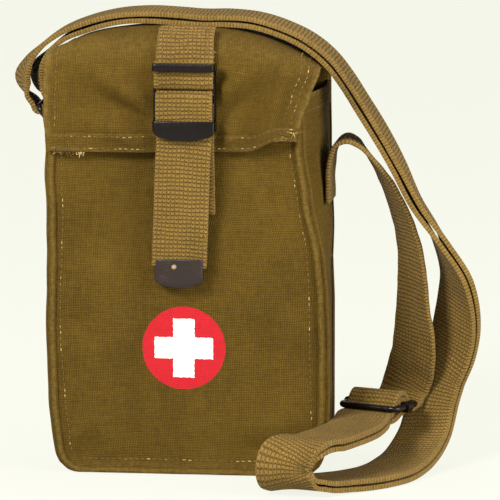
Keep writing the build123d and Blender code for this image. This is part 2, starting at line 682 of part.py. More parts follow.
def bottle_cap():
    cap = Pos(0, 0, CAP_HEIGHT / 2) * Cylinder(CAP_RADIUS, CAP_HEIGHT)
    cap = fillet(cap.edges().group_by(Axis.Z)[-1], 1.5)
    cap -= Pos(0, 0, (CAP_HEIGHT - 2.0) / 2) * Cylinder(CAP_RADIUS - 2.2, CAP_HEIGHT - 2.0)
    for k in range(12):
        turn = Rot(0, 0, 30 * k)
        cap -= turn * Pos(CAP_RADIUS + 0.4, 0, 5.0) * Cylinder(0.9, 9.0)
    return Pos(BOTTLE_X, MIDDLE_Y, FLOOR_Z + BOTTLE_BODY + 0.3) * cap


def tape_spool():
    core = Cylinder(SPOOL_BORE + SPOOL_WALL, TAPE_HEIGHT) - Cylinder(SPOOL_BORE, TAPE_HEIGHT + 2)
    return Pos(TAPE_X, MIDDLE_Y, TAPE_Z + TAPE_HEIGHT / 2) * core


def tape_roll():
    hollow = Cylinder(SPOOL_BORE + SPOOL_WALL, TAPE_HEIGHT)
    wound = Cylinder(TAPE_RADIUS, TAPE_HEIGHT - 1.0) - hollow
    return Pos(TAPE_X, MIDDLE_Y, TAPE_Z + TAPE_HEIGHT / 2) * wound


SCISSOR_X = -18.0
TWEEZER_X = 48.0
SCISSOR_FOOT_Z = CORNER_RADIUS + 4.0
PIVOT_Z = SCISSOR_FOOT_Z + 0.5 * SCISSOR_LENGTH
FINGER_Z = SCISSOR_FOOT_Z + SCISSOR_LENGTH - FINGER_BORE / 2 - 4.0


def scissor_half(side, y0):
    """Blade below the pivot on one side, shank and finger ring above it on the other."""
    with BuildLine() as blade:
        Polyline(
            (0, SCISSOR_FOOT_Z), (-side * 8.0, PIVOT_Z), (-side * 2.0, PIVOT_Z + 10.0),
            (side * 8.0, FINGER_Z), (side * 15.0, FINGER_Z - 4.0), (side * 6.5, PIVOT_Z - 2.0),
            (0, SCISSOR_FOOT_Z),
        )
    outline = make_face(blade.line)
    outline += Pos(side * 15.0, FINGER_Z) * Circle(FINGER_BORE / 2 + 3.5)
    outline -= Pos(side * 15.0, FINGER_Z) * Circle(FINGER_BORE / 2)
    outline -= Pos(0, PIVOT_Z) * Circle(2.15)
    return Pos(SCISSOR_X, 0, 0) * through(outline, y0, y0 + SCISSOR_STEEL)


def scissor_screw():
    long = 2 * SCISSOR_STEEL + 0.2 + 0.6
    shank = Cylinder(2.0, long)
    head = Pos(0, 0, long / 2 + 0.6) * Cylinder(3.6, 1.2)
    foot = Pos(0, 0, -long / 2 - 0.4) * Cylinder(3.2, 0.8)
    return Pos(SCISSOR_X, POCKET_Y, PIVOT_Z) * Rot(90, 0, 0) * (shank + head + foot)


def tweezers():
    """Two springy arms that meet at the top, in the rear pocket."""
    foot, top = SCISSOR_FOOT_Z, SCISSOR_FOOT_Z + TWEEZER_LENGTH
    outline = Pos(TWEEZER_X, top - 4.0) * Rectangle(3.0, 8.0)
    for side in (-1, 1):
        with BuildLine() as arm:
            Polyline((TWEEZER_X, top), (TWEEZER_X + side * 5.5, foot + 25), (TWEEZER_X + side, foot))
        outline += trace(arm.line, TWEEZER_STEEL)
    return through(outline, POCKET_Y - TWEEZER_WIDTH / 2, POCKET_Y + TWEEZER_WIDTH / 2)


PIECES = {
    "front_panel": front_panel,
    "back_panel": back_panel,
    "gusset": gusset,
    "front_welt": front_welt,
    "gusset_welt": gusset_welt,
    "back_binding": back_binding,
    "mouth_hem": mouth_hem,
    "divider": divider,
    "flap_panel": flap_panel,
    "flap_hem": flap_hem,
    "flap_webbing": flap_webbing,
    "buckle_loop": buckle_loop,
    "buckle_frame": buckle_frame,
    "closure_strap": closure_strap,
    "strap_tail": strap_tail,
    "strap_tip": strap_tip,
    "tip_rivet": tip_rivet,
    "ring_chape": ring_chape,
    "strap_ring": strap_ring,
    "slider_frame": slider_frame,
    "slider_bar": slider_bar,
    "shoulder_strap_outer": shoulder_strap_outer,
    "shoulder_strap_side": shoulder_strap_side,
    "shoulder_strap_inner": shoulder_strap_inner,
    "antiseptic_bottle": bottle,
    "bottle_cap": bottle_cap,
    "tape_spool": tape_spool,
    "tape_roll": tape_roll,
    "dressing_box": dressing_box,
    "scissor_screw": scissor_screw,
    "tweezers": tweezers,
}
for node, make in PIECES.items():
    save(make(), node)

save(roll(ROLL_A_X), "roller_bandage_left")
save(roll(ROLL_B_X), "roller_bandage_right")
save(soft_pack(112.0, DRESSING_Z, DRESSING_HEIGHT), "wound_dressing")
save(soft_pack(100.0, GAUZE_Z, GAUZE_HEIGHT), "gauze_pack")
save(soft_pack(95.0, TRIANGULAR_Z, TRIANGULAR_HEIGHT), "triangular_bandage")
save(scissor_half(1, POCKET_Y - SCISSOR_STEEL - 0.1), "scissor_half_fixed")
save(scissor_half(-1, POCKET_Y + 0.1), "scissor_half_moving")
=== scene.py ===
# %% [markdown]
# # A canvas first aid kit
#
# The bag is sewn from three pieces of cotton duck: a front, a back and one long gusset strip that
# runs down one side, under the bottom and up the other. A flap folds over from the back. A web strap
# with a stamped buckle holds the flap shut, and a doubled shoulder strap runs from a ring on the left
# side, over the top and round on the table to a wire slider. Every piece is placed in the frame of
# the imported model, in metres: +X right, the front faces -Y, +Z up.

# %% The frame, and what the whole file shares
import json
import math
import random

import bmesh
import bpy
from mathutils import Matrix, Vector, noise

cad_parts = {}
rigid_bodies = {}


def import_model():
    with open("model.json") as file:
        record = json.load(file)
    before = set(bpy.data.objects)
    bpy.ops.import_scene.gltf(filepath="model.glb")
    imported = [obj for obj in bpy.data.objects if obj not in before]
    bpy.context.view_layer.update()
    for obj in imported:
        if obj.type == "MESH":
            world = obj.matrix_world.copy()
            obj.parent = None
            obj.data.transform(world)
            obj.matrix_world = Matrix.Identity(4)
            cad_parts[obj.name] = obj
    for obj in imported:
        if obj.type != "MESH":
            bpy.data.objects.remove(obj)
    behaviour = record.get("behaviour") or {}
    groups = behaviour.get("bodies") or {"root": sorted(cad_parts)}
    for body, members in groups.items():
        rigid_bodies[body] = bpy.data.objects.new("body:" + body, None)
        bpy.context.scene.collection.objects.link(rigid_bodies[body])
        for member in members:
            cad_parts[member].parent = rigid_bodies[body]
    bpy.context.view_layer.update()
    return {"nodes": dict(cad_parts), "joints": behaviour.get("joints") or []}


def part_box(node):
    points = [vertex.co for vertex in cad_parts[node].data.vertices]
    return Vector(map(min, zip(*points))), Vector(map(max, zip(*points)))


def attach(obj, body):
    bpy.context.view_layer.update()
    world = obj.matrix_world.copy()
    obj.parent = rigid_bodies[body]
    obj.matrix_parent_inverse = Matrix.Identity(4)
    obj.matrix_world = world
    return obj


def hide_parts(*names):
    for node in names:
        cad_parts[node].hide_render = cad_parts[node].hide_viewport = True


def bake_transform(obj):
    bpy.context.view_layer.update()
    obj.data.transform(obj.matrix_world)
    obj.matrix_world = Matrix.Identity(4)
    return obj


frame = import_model()
MM = 0.001
chance = random.Random(7)
scene = bpy.context.scene

for joint in frame["joints"]:
    print("joint", joint.get("name"), joint.get("parent"), joint.get("child"))

# %% [markdown]
# ## Sizes
#
# These repeat the model's own sizes. The soft pieces need them because cloth is drawn as a surface
# that bulges and sags about the flat shape that was cut.

# %% Sizes in millimetres
SIDE_X = 75.0
FRONT_Y = -38.0
BACK_Y = 38.0
BODY_TOP = 216.0
CANVAS = 1.5
BOTTOM_ROUND = 12.0
LIP_Z = 185.0
WEB_WIDTH = 31.0
WEB_THICK = 2.4
STITCH_PITCH = 3.4
STITCH_LENGTH = 2.3


def smooth(x):
    """0 below 0, 1 above 1, and an even ease between them."""
    x = min(1.0, max(0.0, x))
    return x * x * (3.0 - 2.0 * x)


def mix(a, b, share):
    return a + (b - a) * share


def table(x, *pairs):
    """A smooth line through (place, value) pairs."""
    if x <= pairs[0][0]:
        return pairs[0][1]
    for (x0, y0), (x1, y1) in zip(pairs, pairs[1:]):
        if x <= x1:
            return mix(y0, y1, smooth((x - x0) / (x1 - x0)) * 0.5 + 0.5 * (x - x0) / (x1 - x0))
    return pairs[-1][1]


def ridge(point, start, end, wide, high):
    """The height at a 2-D point of a fold that runs between two others and dies out at its ends."""
    p, a, b = Vector(point), Vector(start), Vector(end)
    run = b - a
    share = min(1.0, max(0.0, (p - a).dot(run) / run.length_squared))
    off = (p - a - run * share).length / wide
    ends = math.sin(math.pi * min(1.0, max(0.0, share * 0.9 + 0.05)))
    return high * math.exp(-off * off) * ends


def ripple(x, y, scale, seed):
    """Slow unevenness of cloth, between about -1 and 1."""
    return noise.noise(Vector((x / scale, y / scale, seed)))


# %% [markdown]
# ## Shader sums
#
# One small class stands for a socket in a material. Adding or multiplying two of them makes the
# Math node that does it, so that a weave reads like a formula.

# %% The socket class
class Socket:
    """An output of a node in a material's tree."""

    def __init__(self, tree, output):
        self.tree = tree
        self.output = output

    def node(self, kind, settings=(), out=0, **inputs):
        """Any other node: its settings first, then its sockets, by name or as i0, i1 and so on."""
        made = self.tree.nodes.new("ShaderNode" + kind)
        for key, value in dict(settings).items():
            setattr(made, key, value)
        for key, value in inputs.items():
            where = int(key[1:]) if key[0] == "i" and key[1:].isdigit() else key
            if isinstance(where, str):
                where = where.replace("_", " ")
            if isinstance(value, Socket):
                self.tree.links.new(value.output, made.inputs[where])
            else:
                made.inputs[where].default_value = value
        return Socket(self.tree, made.outputs[out])

    def math(self, operation, *others):
        inputs = {f"i{k}": value for k, value in enumerate((self, *others))}
        return self.node("Math", {"operation": operation}, **inputs)

    def __add__(self, other):
        return self.math("ADD", other)

    def __sub__(self, other):
        return self.math("SUBTRACT", other)

    def __mul__(self, other):
        return self.math("MULTIPLY", other)

    def __truediv__(self, other):
        return self.math("DIVIDE", other)

    def __rsub__(self, other):
        return self.node("Math", {"operation": "SUBTRACT"}, i0=other, i1=self)

    __radd__ = __add__
    __rmul__ = __mul__

    def between(self, low, high, to_low=0.0, to_high=1.0):
        """This value moved from one range to another, smoothly and no further."""
        return self.node("MapRange", {"interpolation_type": "SMOOTHSTEP"}, Value=self,
                         From_Min=low, From_Max=high, To_Min=to_low, To_Max=to_high)

    def parts(self):
        """The X, Y and Z of a vector."""
        made = self.tree.nodes.new("ShaderNodeSeparateXYZ")
        self.tree.links.new(self.output, made.inputs[0])
        return [Socket(self.tree, out) for out in made.outputs]

    def scaled(self, x, y, z):
        return self.node("VectorMath", {"operation": "MULTIPLY"}, i0=self, i1=(x, y, z))

    def noise(self, scale, detail=3.0, rough=0.55):
        return self.node("TexNoise", {}, Vector=self, Scale=scale, Detail=detail, Roughness=rough)

    def colour(self, low, high):
        """A colour between two others, by this value."""
        return self.node("Mix", {"data_type": "RGBA"}, out=2, i0=self, i6=low, i7=high)


def srgb(red, green, blue, gain=1.0):
    """A colour on the 0 to 255 scale, as the light values that shaders use."""
    light = []
    for value in (red, green, blue):
        share = value / 255.0
        light.append(gain * (share / 12.92 if share < 0.04045 else ((share + 0.055) / 1.055) ** 2.4))
    return (*light, 1.0)


def material(name):
    """A new material: its shader, its object coordinates and its own cloth coordinates."""
    made = bpy.data.materials.new(name)
    made.use_nodes = True
    tree = made.node_tree
    shader = tree.nodes["Principled BSDF"]
    places = tree.nodes.new("ShaderNodeTexCoord")
    return made, shader, Socket(tree, places.outputs["Object"]), Socket(tree, places.outputs["UV"])


def finish_with(shader, tree, colour=None, rough=None, height=None, depth=0.0003, strength=1.0):
    """Plug a colour, a roughness and a height into a shader."""
    if colour is not None:
        tree.links.new(colour.output, shader.inputs["Base Color"])
    if rough is not None:
        tree.links.new(rough.output, shader.inputs["Roughness"])
    if height is not None:
        bump = height.node("Bump", {}, Strength=strength, Distance=depth, Height=height)
        tree.links.new(bump.output, shader.inputs["Normal"])


# %% [markdown]
# ## Cotton duck
#
# Duck is a plain weave of heavy yarn. Each yarn is a rounded ridge that rises where it passes over
# and sinks where it passes under. The yarns differ a little in thickness and in how much dye they
# took, so the colour runs in short faint streaks both ways, over slow cloudy patches.

# %% Canvas materials
YARN = 0.95 * MM


def duck_weave(cut, places, pitch):
    """Height of a plain weave, and how deep in the gap between yarns a point is."""
    drift = places.noise(140.0, 2.0).between(0.2, 0.8, -0.35, 0.35)
    x, y, _ = cut.parts()
    across = x / pitch + drift
    along = y / pitch - drift
    cell = (across * math.pi).math("SINE") * (along * math.pi).math("SINE")
    warp = (across * math.pi).math("SINE").math("ABSOLUTE")
    weft = (along * math.pi).math("SINE").math("ABSOLUTE")
    warp = warp * (cell * 0.35 + 0.65)
    weft = weft * (0.65 - cell * 0.35)
    return warp.math("MAXIMUM", weft)


def canvas(name, dark, light, pale, worn=0.25, depth=0.00032):
    """Olive cotton duck in two tones, with a paler one where it is rubbed."""
    made, shader, places, cut = material(name)
    tree = made.node_tree
    weave = duck_weave(cut, places, YARN)
    streak_x = cut.scaled(60.0, 900.0, 1.0).noise(1.0, 2.0)
    streak_y = cut.scaled(900.0, 60.0, 1.0).noise(1.0, 2.0)
    cloud = places.noise(16.0, 4.0, 0.6)
    fine = places.noise(420.0, 2.0)
    tone = streak_x * 0.2 + streak_y * 0.16 + cloud * 0.42 + fine * 0.22
    tone = tone.between(0.36, 0.64)
    colour = tone.colour(dark, light)
    # Painted shade: the colour is darkened in the gaps between yarns and a little lightened on the yarn
    # crowns, as painted highlight.
    gap = weave.between(0.35, 0.8, 0.0, 1.0)
    shaded = gap.node("Mix", {"data_type": "RGBA", "blend_type": "MULTIPLY"}, out=2,
                      i0=1.0, i6=colour, i7=gap.colour((0.42, 0.38, 0.3, 1.0), (1.12, 1.1, 1.05, 1.0)))
    rub = places.node("Attribute", {"attribute_name": "wear"}, out=2)
    rubbed = (rub * (fine.between(0.35, 0.7) * 0.7 + 0.5) + cloud.between(0.62, 0.75) * worn * 0.4)
    colour = rubbed.math("MINIMUM", 1.0).node(
        "Mix", {"data_type": "RGBA"}, out=2, i0=rubbed.math("MINIMUM", 1.0), i6=shaded, i7=pale)
    height = weave + fine * 0.35 + cloud * 0.4
    finish_with(shader, tree, colour, cloud.between(0.3, 0.7, 0.8, 0.95), height, depth)
    shader.inputs["Sheen Weight"].default_value = 0.0
    shader.inputs["Specular IOR Level"].default_value = 0.06
    return made


CANVAS_DARK = srgb(78, 60, 20)
CANVAS_LIGHT = srgb(100, 79, 30)
CANVAS_PALE = srgb(132, 108, 60)
canvas_material = canvas("canvas_duck", CANVAS_DARK, CANVAS_LIGHT, CANVAS_PALE)

# %% [markdown]
# ## The printed sign
#
# A plain cross on a round field is the general sign for first aid. It is printed, so it is only a
# colour on the weave: the yarns show through it, its rim is a little ragged where the ink crept,
# and here and there a yarn's crown has lost its ink.

# %% The front's material
SIGN_X, SIGN_Z = -1.8 * MM, 72.9 * MM
SIGN_RADIUS = 23.5 * MM
ARM_LONG, ARM_WIDE = 16.6 * MM, 6.0 * MM
INK_RED = srgb(178, 34, 42)
INK_WHITE = srgb(246, 244, 236)


def printed(made):
    """A copy of the canvas with the sign printed on it."""
    copy = made.copy()
    copy.name = "canvas_printed"
    tree = copy.node_tree
    shader = tree.nodes["Principled BSDF"]
    base = Socket(tree, shader.inputs["Base Color"].links[0].from_socket)
    places_node = next(n for n in tree.nodes if n.type == "TEX_COORD")
    places = Socket(tree, places_node.outputs["Object"])
    creep = places.noise(900.0, 2.0).between(0.3, 0.7, -0.00022, 0.00022)
    x, _, z = places.parts()
    x = x - SIGN_X
    z = z - SIGN_Z
    out = (x * x + z * z).math("SQRT") + creep
    disc = out.between(SIGN_RADIUS - 0.0002, SIGN_RADIUS + 0.0002, 1.0, 0.0)
    far_x, far_z = x.math("ABSOLUTE") + creep, z.math("ABSOLUTE") + creep
    upright = far_x.math("LESS_THAN", ARM_WIDE) * far_z.math("LESS_THAN", ARM_LONG)
    level = far_z.math("LESS_THAN", ARM_WIDE) * far_x.math("LESS_THAN", ARM_LONG)
    cross = upright.math("MAXIMUM", level)
    thin = places.noise(1500.0, 2.0).between(0.66, 0.8, 1.0, 0.55)
    ink = cross.colour(INK_RED, INK_WHITE)
    ink = places.node("Mix", {"data_type": "RGBA", "blend_type": "MULTIPLY"}, out=2, i0=0.25, i6=ink,
                      i7=places.noise(300.0).between(0.3, 0.6).colour((0.75, 0.75, 0.75, 1), (1, 1, 1, 1)))
    colour = ink.node("Mix", {"data_type": "RGBA"}, out=2, i0=disc * thin, i6=base, i7=ink)
    tree.links.new(colour.output, shader.inputs["Base Color"])
    return copy


canvas_printed = printed(canvas_material)

# %% [markdown]
# ## Cotton webbing
#
# The straps are a thick web whose face is a basket of plump yarns in upright columns. Neighbouring
# columns are half a yarn out of step. The web is paler and pinker than the canvas.

# %% Webbing material
WEB_COLUMNS = 13
WEB_ROW = 2.35 * MM


def webbing_material(name, dark, light, pale, depth=0.0008):
    made, shader, places, cut = material(name)
    tree = made.node_tree
    drift = places.noise(70.0, 2.0).between(0.2, 0.8, -0.2, 0.2)
    x, y, _ = cut.parts()
    column = x / (WEB_WIDTH * MM / WEB_COLUMNS) + drift * 0.3
    row = y / WEB_ROW + drift
    from_middle = (column.math("FRACT") - 0.5).math("ABSOLUTE")
    up_row = (row + from_middle * 0.55).math("FRACT") - 0.5
    tick = up_row.math("ABSOLUTE").between(0.05, 0.22, 0.85, 0.0) * from_middle.between(0.2, 0.44, 1.0, 0.0)
    groove = from_middle.between(0.34, 0.5) * 0.55
    edge = (x / (WEB_WIDTH * MM) - 0.5).math("ABSOLUTE").between(0.47, 0.485)
    cord = (y * (math.tau / (1.75 * MM)) + drift * 4.0).math("SINE") * 0.5 + 0.5
    sunk_and_shaded = (tick.math("MAXIMUM", groove) * (1.0 - edge) + edge * (1.0 - cord) * 0.55)
    fibre = cut.scaled(2200.0, 500.0, 1.0).noise(1.0, 2.0)
    cloud = places.noise(22.0, 4.0, 0.6)
    fine = places.noise(800.0, 2.0)
    tone = (fibre * 0.4 + cloud * 0.4 + fine * 0.2).between(0.36, 0.64)
    colour = tone.colour(dark, light)
    # Painted shade: the colour is darkened where the web is sunk, in the ticks and grooves between yarns and
    # between the selvedge cords.
    colour = sunk_and_shaded.node("Mix", {"data_type": "RGBA", "blend_type": "MULTIPLY"}, out=2, i0=1.0, i6=colour,
                       i7=sunk_and_shaded.colour((1.08, 1.06, 1.03, 1.0), (0.42, 0.36, 0.25, 1.0)))
    rub = places.node("Attribute", {"attribute_name": "wear"}, out=2)
    rubbed = (rub * fine.between(0.3, 0.7, 0.3, 0.9) * (1.0 - sunk_and_shaded)).math("MINIMUM", 1.0)
    colour = rubbed.node("Mix", {"data_type": "RGBA"}, out=2, i0=rubbed, i6=colour, i7=pale)
    height = fibre * 0.15 - sunk_and_shaded
    finish_with(shader, tree, colour, cloud.between(0.3, 0.7, 0.82, 0.94), height, depth)
    shader.inputs["Sheen Weight"].default_value = 0.02
    shader.inputs["Specular IOR Level"].default_value = 0.08
    return made


web_material = webbing_material("cotton_webbing", srgb(94, 74, 32), srgb(124, 99, 50),
                                srgb(150, 123, 75))

# %% [markdown]
# ## Metals
#
# The buckle, ring and slider are blackened steel: a thin dark coat, brown where it is thin, worn to
# a dull grey in scattered patches. The strap's tip is browner and more worn.

# %% Metal materials
def blackened(name, coat, worn, share, rough):
    made, shader, places, _ = material(name)
    tree = made.node_tree
    cloud = places.noise(60.0, 5.0, 0.65)
    speck = places.noise(900.0, 3.0, 0.6)
    scratch = places.scaled(1.0, 1.0, 9.0).noise(260.0, 4.0, 0.7)
    wear = (cloud * 0.45 + speck * 0.3 + scratch * 0.25).between(1.0 - share, 1.0 - share + 0.12)
    colour = wear.colour(coat, worn)
    dust = speck.between(0.62, 0.85, 0.0, 0.12)
    colour = dust.node("Mix", {"data_type": "RGBA"}, out=2, i0=dust, i6=colour, i7=srgb(92, 78, 62))
    finish_with(shader, tree, colour, (cloud * 0.3 + speck * 0.2 + rough - 0.25), speck + cloud, 0.00008)
    metal = wear.between(0.0, 1.0, 0.0, 0.5)
    tree.links.new(metal.output, shader.inputs["Metallic"])
    shader.inputs["Specular IOR Level"].default_value = 0.22
    return made


steel_black = blackened("blackened_steel_worn", srgb(14, 8, 7), srgb(44, 33, 28), 0.3, 0.25)
tip_brown = blackened("tip_metal_worn", srgb(42, 33, 30), srgb(78, 64, 55), 0.46, 0.34)
rivet_tan = blackened("rivet_metal_worn", srgb(150, 126, 92), srgb(190, 165, 130), 0.5, 0.5)

# %% [markdown]
# ## Cloth as a grid
#
# Every flat piece starts as a flat grid and is moved to where it hangs by a rule for each point, as
# the cloth itself was. The grid keeps its cut size as its own coordinates, so the weave stays the
# right size and runs along the cloth. A second value on each point says how rubbed it is.

# %% Cloth and webbing makers
def new_object(name, bm, made, smooth_faces=True):
    """A finished mesh object at the origin."""
    mesh = bpy.data.meshes.new(name)
    bm.to_mesh(mesh)
    bm.free()
    if smooth_faces:
        mesh.shade_smooth()
    made_object = bpy.data.objects.new(name, mesh)
    scene.collection.objects.link(made_object)
    mesh.materials.append(made)
    return made_object


def cloth(name, place, columns, rows, cut, made, wear=None, thick=CANVAS * MM, offset=0.0, keep=None,
          even=True):
    """A sheet whose point at shares (u, v) of the cut is place(u, v), in millimetres."""
    bm = bmesh.new()
    bmesh.ops.create_grid(bm, x_segments=columns, y_segments=rows, size=0.5)
    uv = bm.loops.layers.uv.new("cut")
    rub = bm.verts.layers.float.new("wear")
    for face in bm.faces:
        for loop in face.loops:
            at = loop.vert.co
            loop[uv].uv = ((at.x + 0.5) * cut[0] * MM, (at.y + 0.5) * cut[1] * MM)
    drop = []
    for vert in bm.verts:
        u, v = vert.co.x + 0.5, vert.co.y + 0.5
        vert[rub] = wear(u, v) if wear else 0.0
        if keep and not keep(u, v):
            drop.append(vert)
        vert.co = Vector(place(u, v)) * MM
    if drop:
        bmesh.ops.delete(bm, geom=drop, context="VERTS")
    sheet = new_object(name, bm, made)
    if thick:
        wall = sheet.modifiers.new("thickness", "SOLIDIFY")
        wall.thickness = thick
        wall.offset = offset
        wall.use_even_offset = even
        round_edge = sheet.modifiers.new("edge", "BEVEL")
        round_edge.width = thick * 0.3
        round_edge.segments = 2
        round_edge.limit_method = "ANGLE"
        round_edge.angle_limit = math.radians(55)
    return sheet


class Route:
    """A smooth route through stations (x, y, z, turn), in millimetres.

    The turn is how far the web's width is turned from +Y about +Z, in degrees.
    """

    def __init__(self, stations, step=2.5):
        self.stations = [Vector(s) for s in stations]
        fine = []
        for k in range(len(self.stations) - 1):
            p1, p2 = self.stations[k], self.stations[k + 1]
            p0 = self.stations[k - 1] if k else p1 * 2 - p2
            p3 = self.stations[k + 2] if k + 2 < len(self.stations) else p2 * 2 - p1
            chord = (p2.xyz - p1.xyz).length
            before, after = (p1.xyz - p0.xyz).length or chord, (p3.xyz - p2.xyz).length or chord
            m1 = ((p2 - p1) / chord * before + (p1 - p0) / before * chord) / (before + chord) * chord
            m2 = ((p3 - p2) / after * chord + (p2 - p1) / chord * after) / (after + chord) * chord
            count = max(2, round(chord / 0.6))
            for n in range(count):
                t = n / count
                fine.append(p1 * (2 * t ** 3 - 3 * t ** 2 + 1) + m1 * (t ** 3 - 2 * t ** 2 + t)
                            + p2 * (3 * t ** 2 - 2 * t ** 3) + m2 * (t ** 3 - t ** 2))
        fine.append(self.stations[-1])
        self.fine = fine
        self.far = [0.0]
        for a, b in zip(fine, fine[1:]):
            self.far.append(self.far[-1] + (b.xyz - a.xyz).length)
        self.length = self.far[-1]

    def at(self, share):
        """The point, width direction and outward face at a share of the length."""
        along = min(1.0, max(0.0, share)) * self.length
        low, high = 0, len(self.far) - 1
        while high - low > 1:
            middle = (low + high) // 2
            if self.far[middle] <= along:
                low = middle
            else:
                high = middle
        part = (along - self.far[low]) / max(1e-9, self.far[high] - self.far[low])
        here = self.fine[low].lerp(self.fine[high], part)
        run = (self.fine[min(high + 1, len(self.fine) - 1)].xyz - self.fine[max(low - 1, 0)].xyz)
        run.normalize()
        turn = math.radians(here.w)
        wide = Vector((-math.sin(turn), math.cos(turn), 0.0))
        wide = (wide - run * wide.dot(run)).normalized()
        return here.xyz, wide, run.cross(wide)


def web(name, stations, made=None, width=WEB_WIDTH, thick=WEB_THICK, lift=0.0, wear=None, step=2.0,
        across=8, sway=None):
    """A strap of webbing along stations. lift moves it out along its face."""
    line = stations if isinstance(stations, Route) else Route(stations)

    def place(u, v):
        point, wide, face = line.at(v)
        out = lift(v) if callable(lift) else lift
        side = (u - 0.5) * width
        if sway:
            side_more, out_more = sway(u, v)
            side += side_more
            out += out_more
        return point + wide * side + face * out

    rows = max(4, round(line.length / step))
    piece = cloth(name, place, across, rows, (width, line.length), made or web_material, wear,
                  thick * MM, even=False)
    piece["route_mm"] = line.length
    return piece


def selvedge_wear(u, v):
    """Webbing is rubbed pale along its two selvedges."""
    return 0.35 * smooth((abs(u - 0.5) - 0.42) / 0.08)


# %% [markdown]
# ## Stitches
#
# Each stitch is a real small lens of thread laid on the cloth. It is shorter than the distance from
# one stitch to the next, because the thread dives between them. Along a straight seam a machine makes
# about 7 to the inch.

# %% Thread and the stitch maker
def thread_material(name, dark, light, share):
    made, shader, places, _ = material(name)
    tree = made.node_tree
    pick = places.noise(170.0, 1.0).between(share - 0.06, share + 0.06)
    colour = pick.colour(dark, light)
    finish_with(shader, tree, colour, places.noise(900.0).between(0.3, 0.7, 0.6, 0.85),
                places.noise(2500.0), 0.0001)
    return made


thread_olive = thread_material("thread_olive", srgb(92, 71, 30), srgb(176, 150, 94), 0.6)
thread_web = thread_material("thread_web", srgb(84, 62, 26), srgb(120, 92, 48), 0.56)


def stitches(name, lines, made, pitch=STITCH_PITCH, length=STITCH_LENGTH, thick=0.55, jitter=0.25):
    """Stitches along lines. A line is a list of (point, outward face) in millimetres."""
    bm = bmesh.new()
    count = 0
    for line in lines:
        points = [Vector(p) for p, _ in line]
        faces = [Vector(f).normalized() for _, f in line]
        left = pitch * 0.5
        for a, b, face in zip(points, points[1:], faces):
            run = b - a
            reach = run.length
            if reach < 1e-6:
                continue
            run.normalize()
            while left <= reach:
                at = a + run * left
                side = face.cross(run).normalized()
                at += side * chance.uniform(-jitter, jitter)
                turn = Matrix((run, side, face)).transposed().to_4x4()
                turn.translation = at * MM
                size = Matrix.Diagonal((length * chance.uniform(0.4, 0.56) * MM, thick * 0.5 * MM,
                                        thick * 0.42 * MM, 1.0))
                bmesh.ops.create_icosphere(bm, subdivisions=2, radius=1.0, matrix=turn @ size)
                count += 1
                left += pitch * chance.uniform(0.94, 1.06)
            left -= reach
    print(name, "has", count, "stitches")
    return new_object(name, bm, made)

# %% [markdown]
# ## The body
#
# The front is a panel with slightly rounded bottom corners. Its right edge leans in towards the top,
# where the closed flap draws the mouth together. The gusset is one strip from mouth to mouth, and
# it swells where the contents press on it. Both share one seam line, so the cloth meets at the seam.

# %% The seam line and the three panels
LEFT_BELLY = 2.6
RIGHT_BELLY = 3.0


def left_edge(z):
    """Where the front's left edge is at a height, bellied out between the bottom and the mouth."""
    belly = LEFT_BELLY * smooth(z / 40.0) * (1 - smooth((z - 165.0) / 25.0))
    return table(z, (0, -72.5), (16, -73.6), (44, -75.0), (83, -76.2), (128, -75.4), (155, -75.8),
                 (186, -78.0), (202, -80.0), (216, -81.2)) - belly


def right_edge(z):
    """The same for the right edge, which leans in towards the mouth."""
    belly = RIGHT_BELLY * smooth(z / 30.0) * (1 - smooth((z - 120.0) / 40.0))
    return table(z, (0, 73.0), (16, 74.0), (44, 74.8), (80, 74.6), (105, 73.6), (128, 71.6),
                 (156, 68.2), (186, 64.0), (216, 62.5)) + belly


def back_right_edge(z):
    return table(z, (0, 74.0), (90, 74.0), (130, 72.4), (165, 71.2), (216, 71.2))


def seam_front(v):
    """The front seam from the left mouth corner down, under and up: x, z, and the outward way."""
    down = BODY_TOP - BOTTOM_ROUND
    curve = BOTTOM_ROUND * math.pi / 2
    flat = 2 * (SIDE_X - BOTTOM_ROUND)
    total = 2 * down + 2 * curve + flat
    at = v * total
    if at < down:
        z = BODY_TOP - at
        return left_edge(z), z, (-1.0, 0.0)
    at -= down
    if at < curve:
        angle = at / BOTTOM_ROUND
        out = (-math.cos(angle), -math.sin(angle))
        z = BOTTOM_ROUND * (1 - math.sin(angle))
        return left_edge(z) + BOTTOM_ROUND * (1 - math.cos(angle)), z, out
    at -= curve
    if at < flat:
        share = at / flat
        x = mix(left_edge(0) + BOTTOM_ROUND, right_edge(0) - BOTTOM_ROUND, share)
        return x, 0.0, (0.0, -1.0)
    at -= flat
    if at < curve:
        angle = at / BOTTOM_ROUND
        out = (math.sin(angle), -math.cos(angle))
        z = BOTTOM_ROUND * (1 - math.cos(angle))
        return right_edge(z) - BOTTOM_ROUND * (1 - math.sin(angle)), z, out
    at -= curve
    z = BOTTOM_ROUND + at
    return right_edge(z), z, (1.0, 0.0)


SEAM_LENGTH = 2 * (BODY_TOP - BOTTOM_ROUND) + BOTTOM_ROUND * math.pi + 2 * (SIDE_X - BOTTOM_ROUND)


def front_swell(x, z):
    """How far the front stands out of its flat plane."""
    across = math.cos(math.pi / 2 * min(1.0, abs(x) / 76.0))
    up = smooth(z / 46.0) * (1.0 - 0.88 * smooth((z - 130.0) / 60.0))
    swell = 3.6 * across ** 0.8 * up
    swell += 0.55 * ripple(x, z, 26.0, 1.0) + 0.25 * ripple(x, z, 9.0, 2.0)
    swell -= ridge((x, z), (-66, 6), (-50, 24), 5.0, 1.3) + ridge((x, z), (28, 17), (66, 12), 4.0, 1.5)
    swell += ridge((x, z), (-70, 14), (-42, 34), 6.0, 0.9) + ridge((x, z), (30, 26), (68, 30), 7.0, 1.0)
    swell -= ridge((x, z), (64, 120), (44, 60), 6.0, 0.7)
    edge = smooth(min(x - left_edge(z), right_edge(z) - x) / 9.0)
    return swell * edge


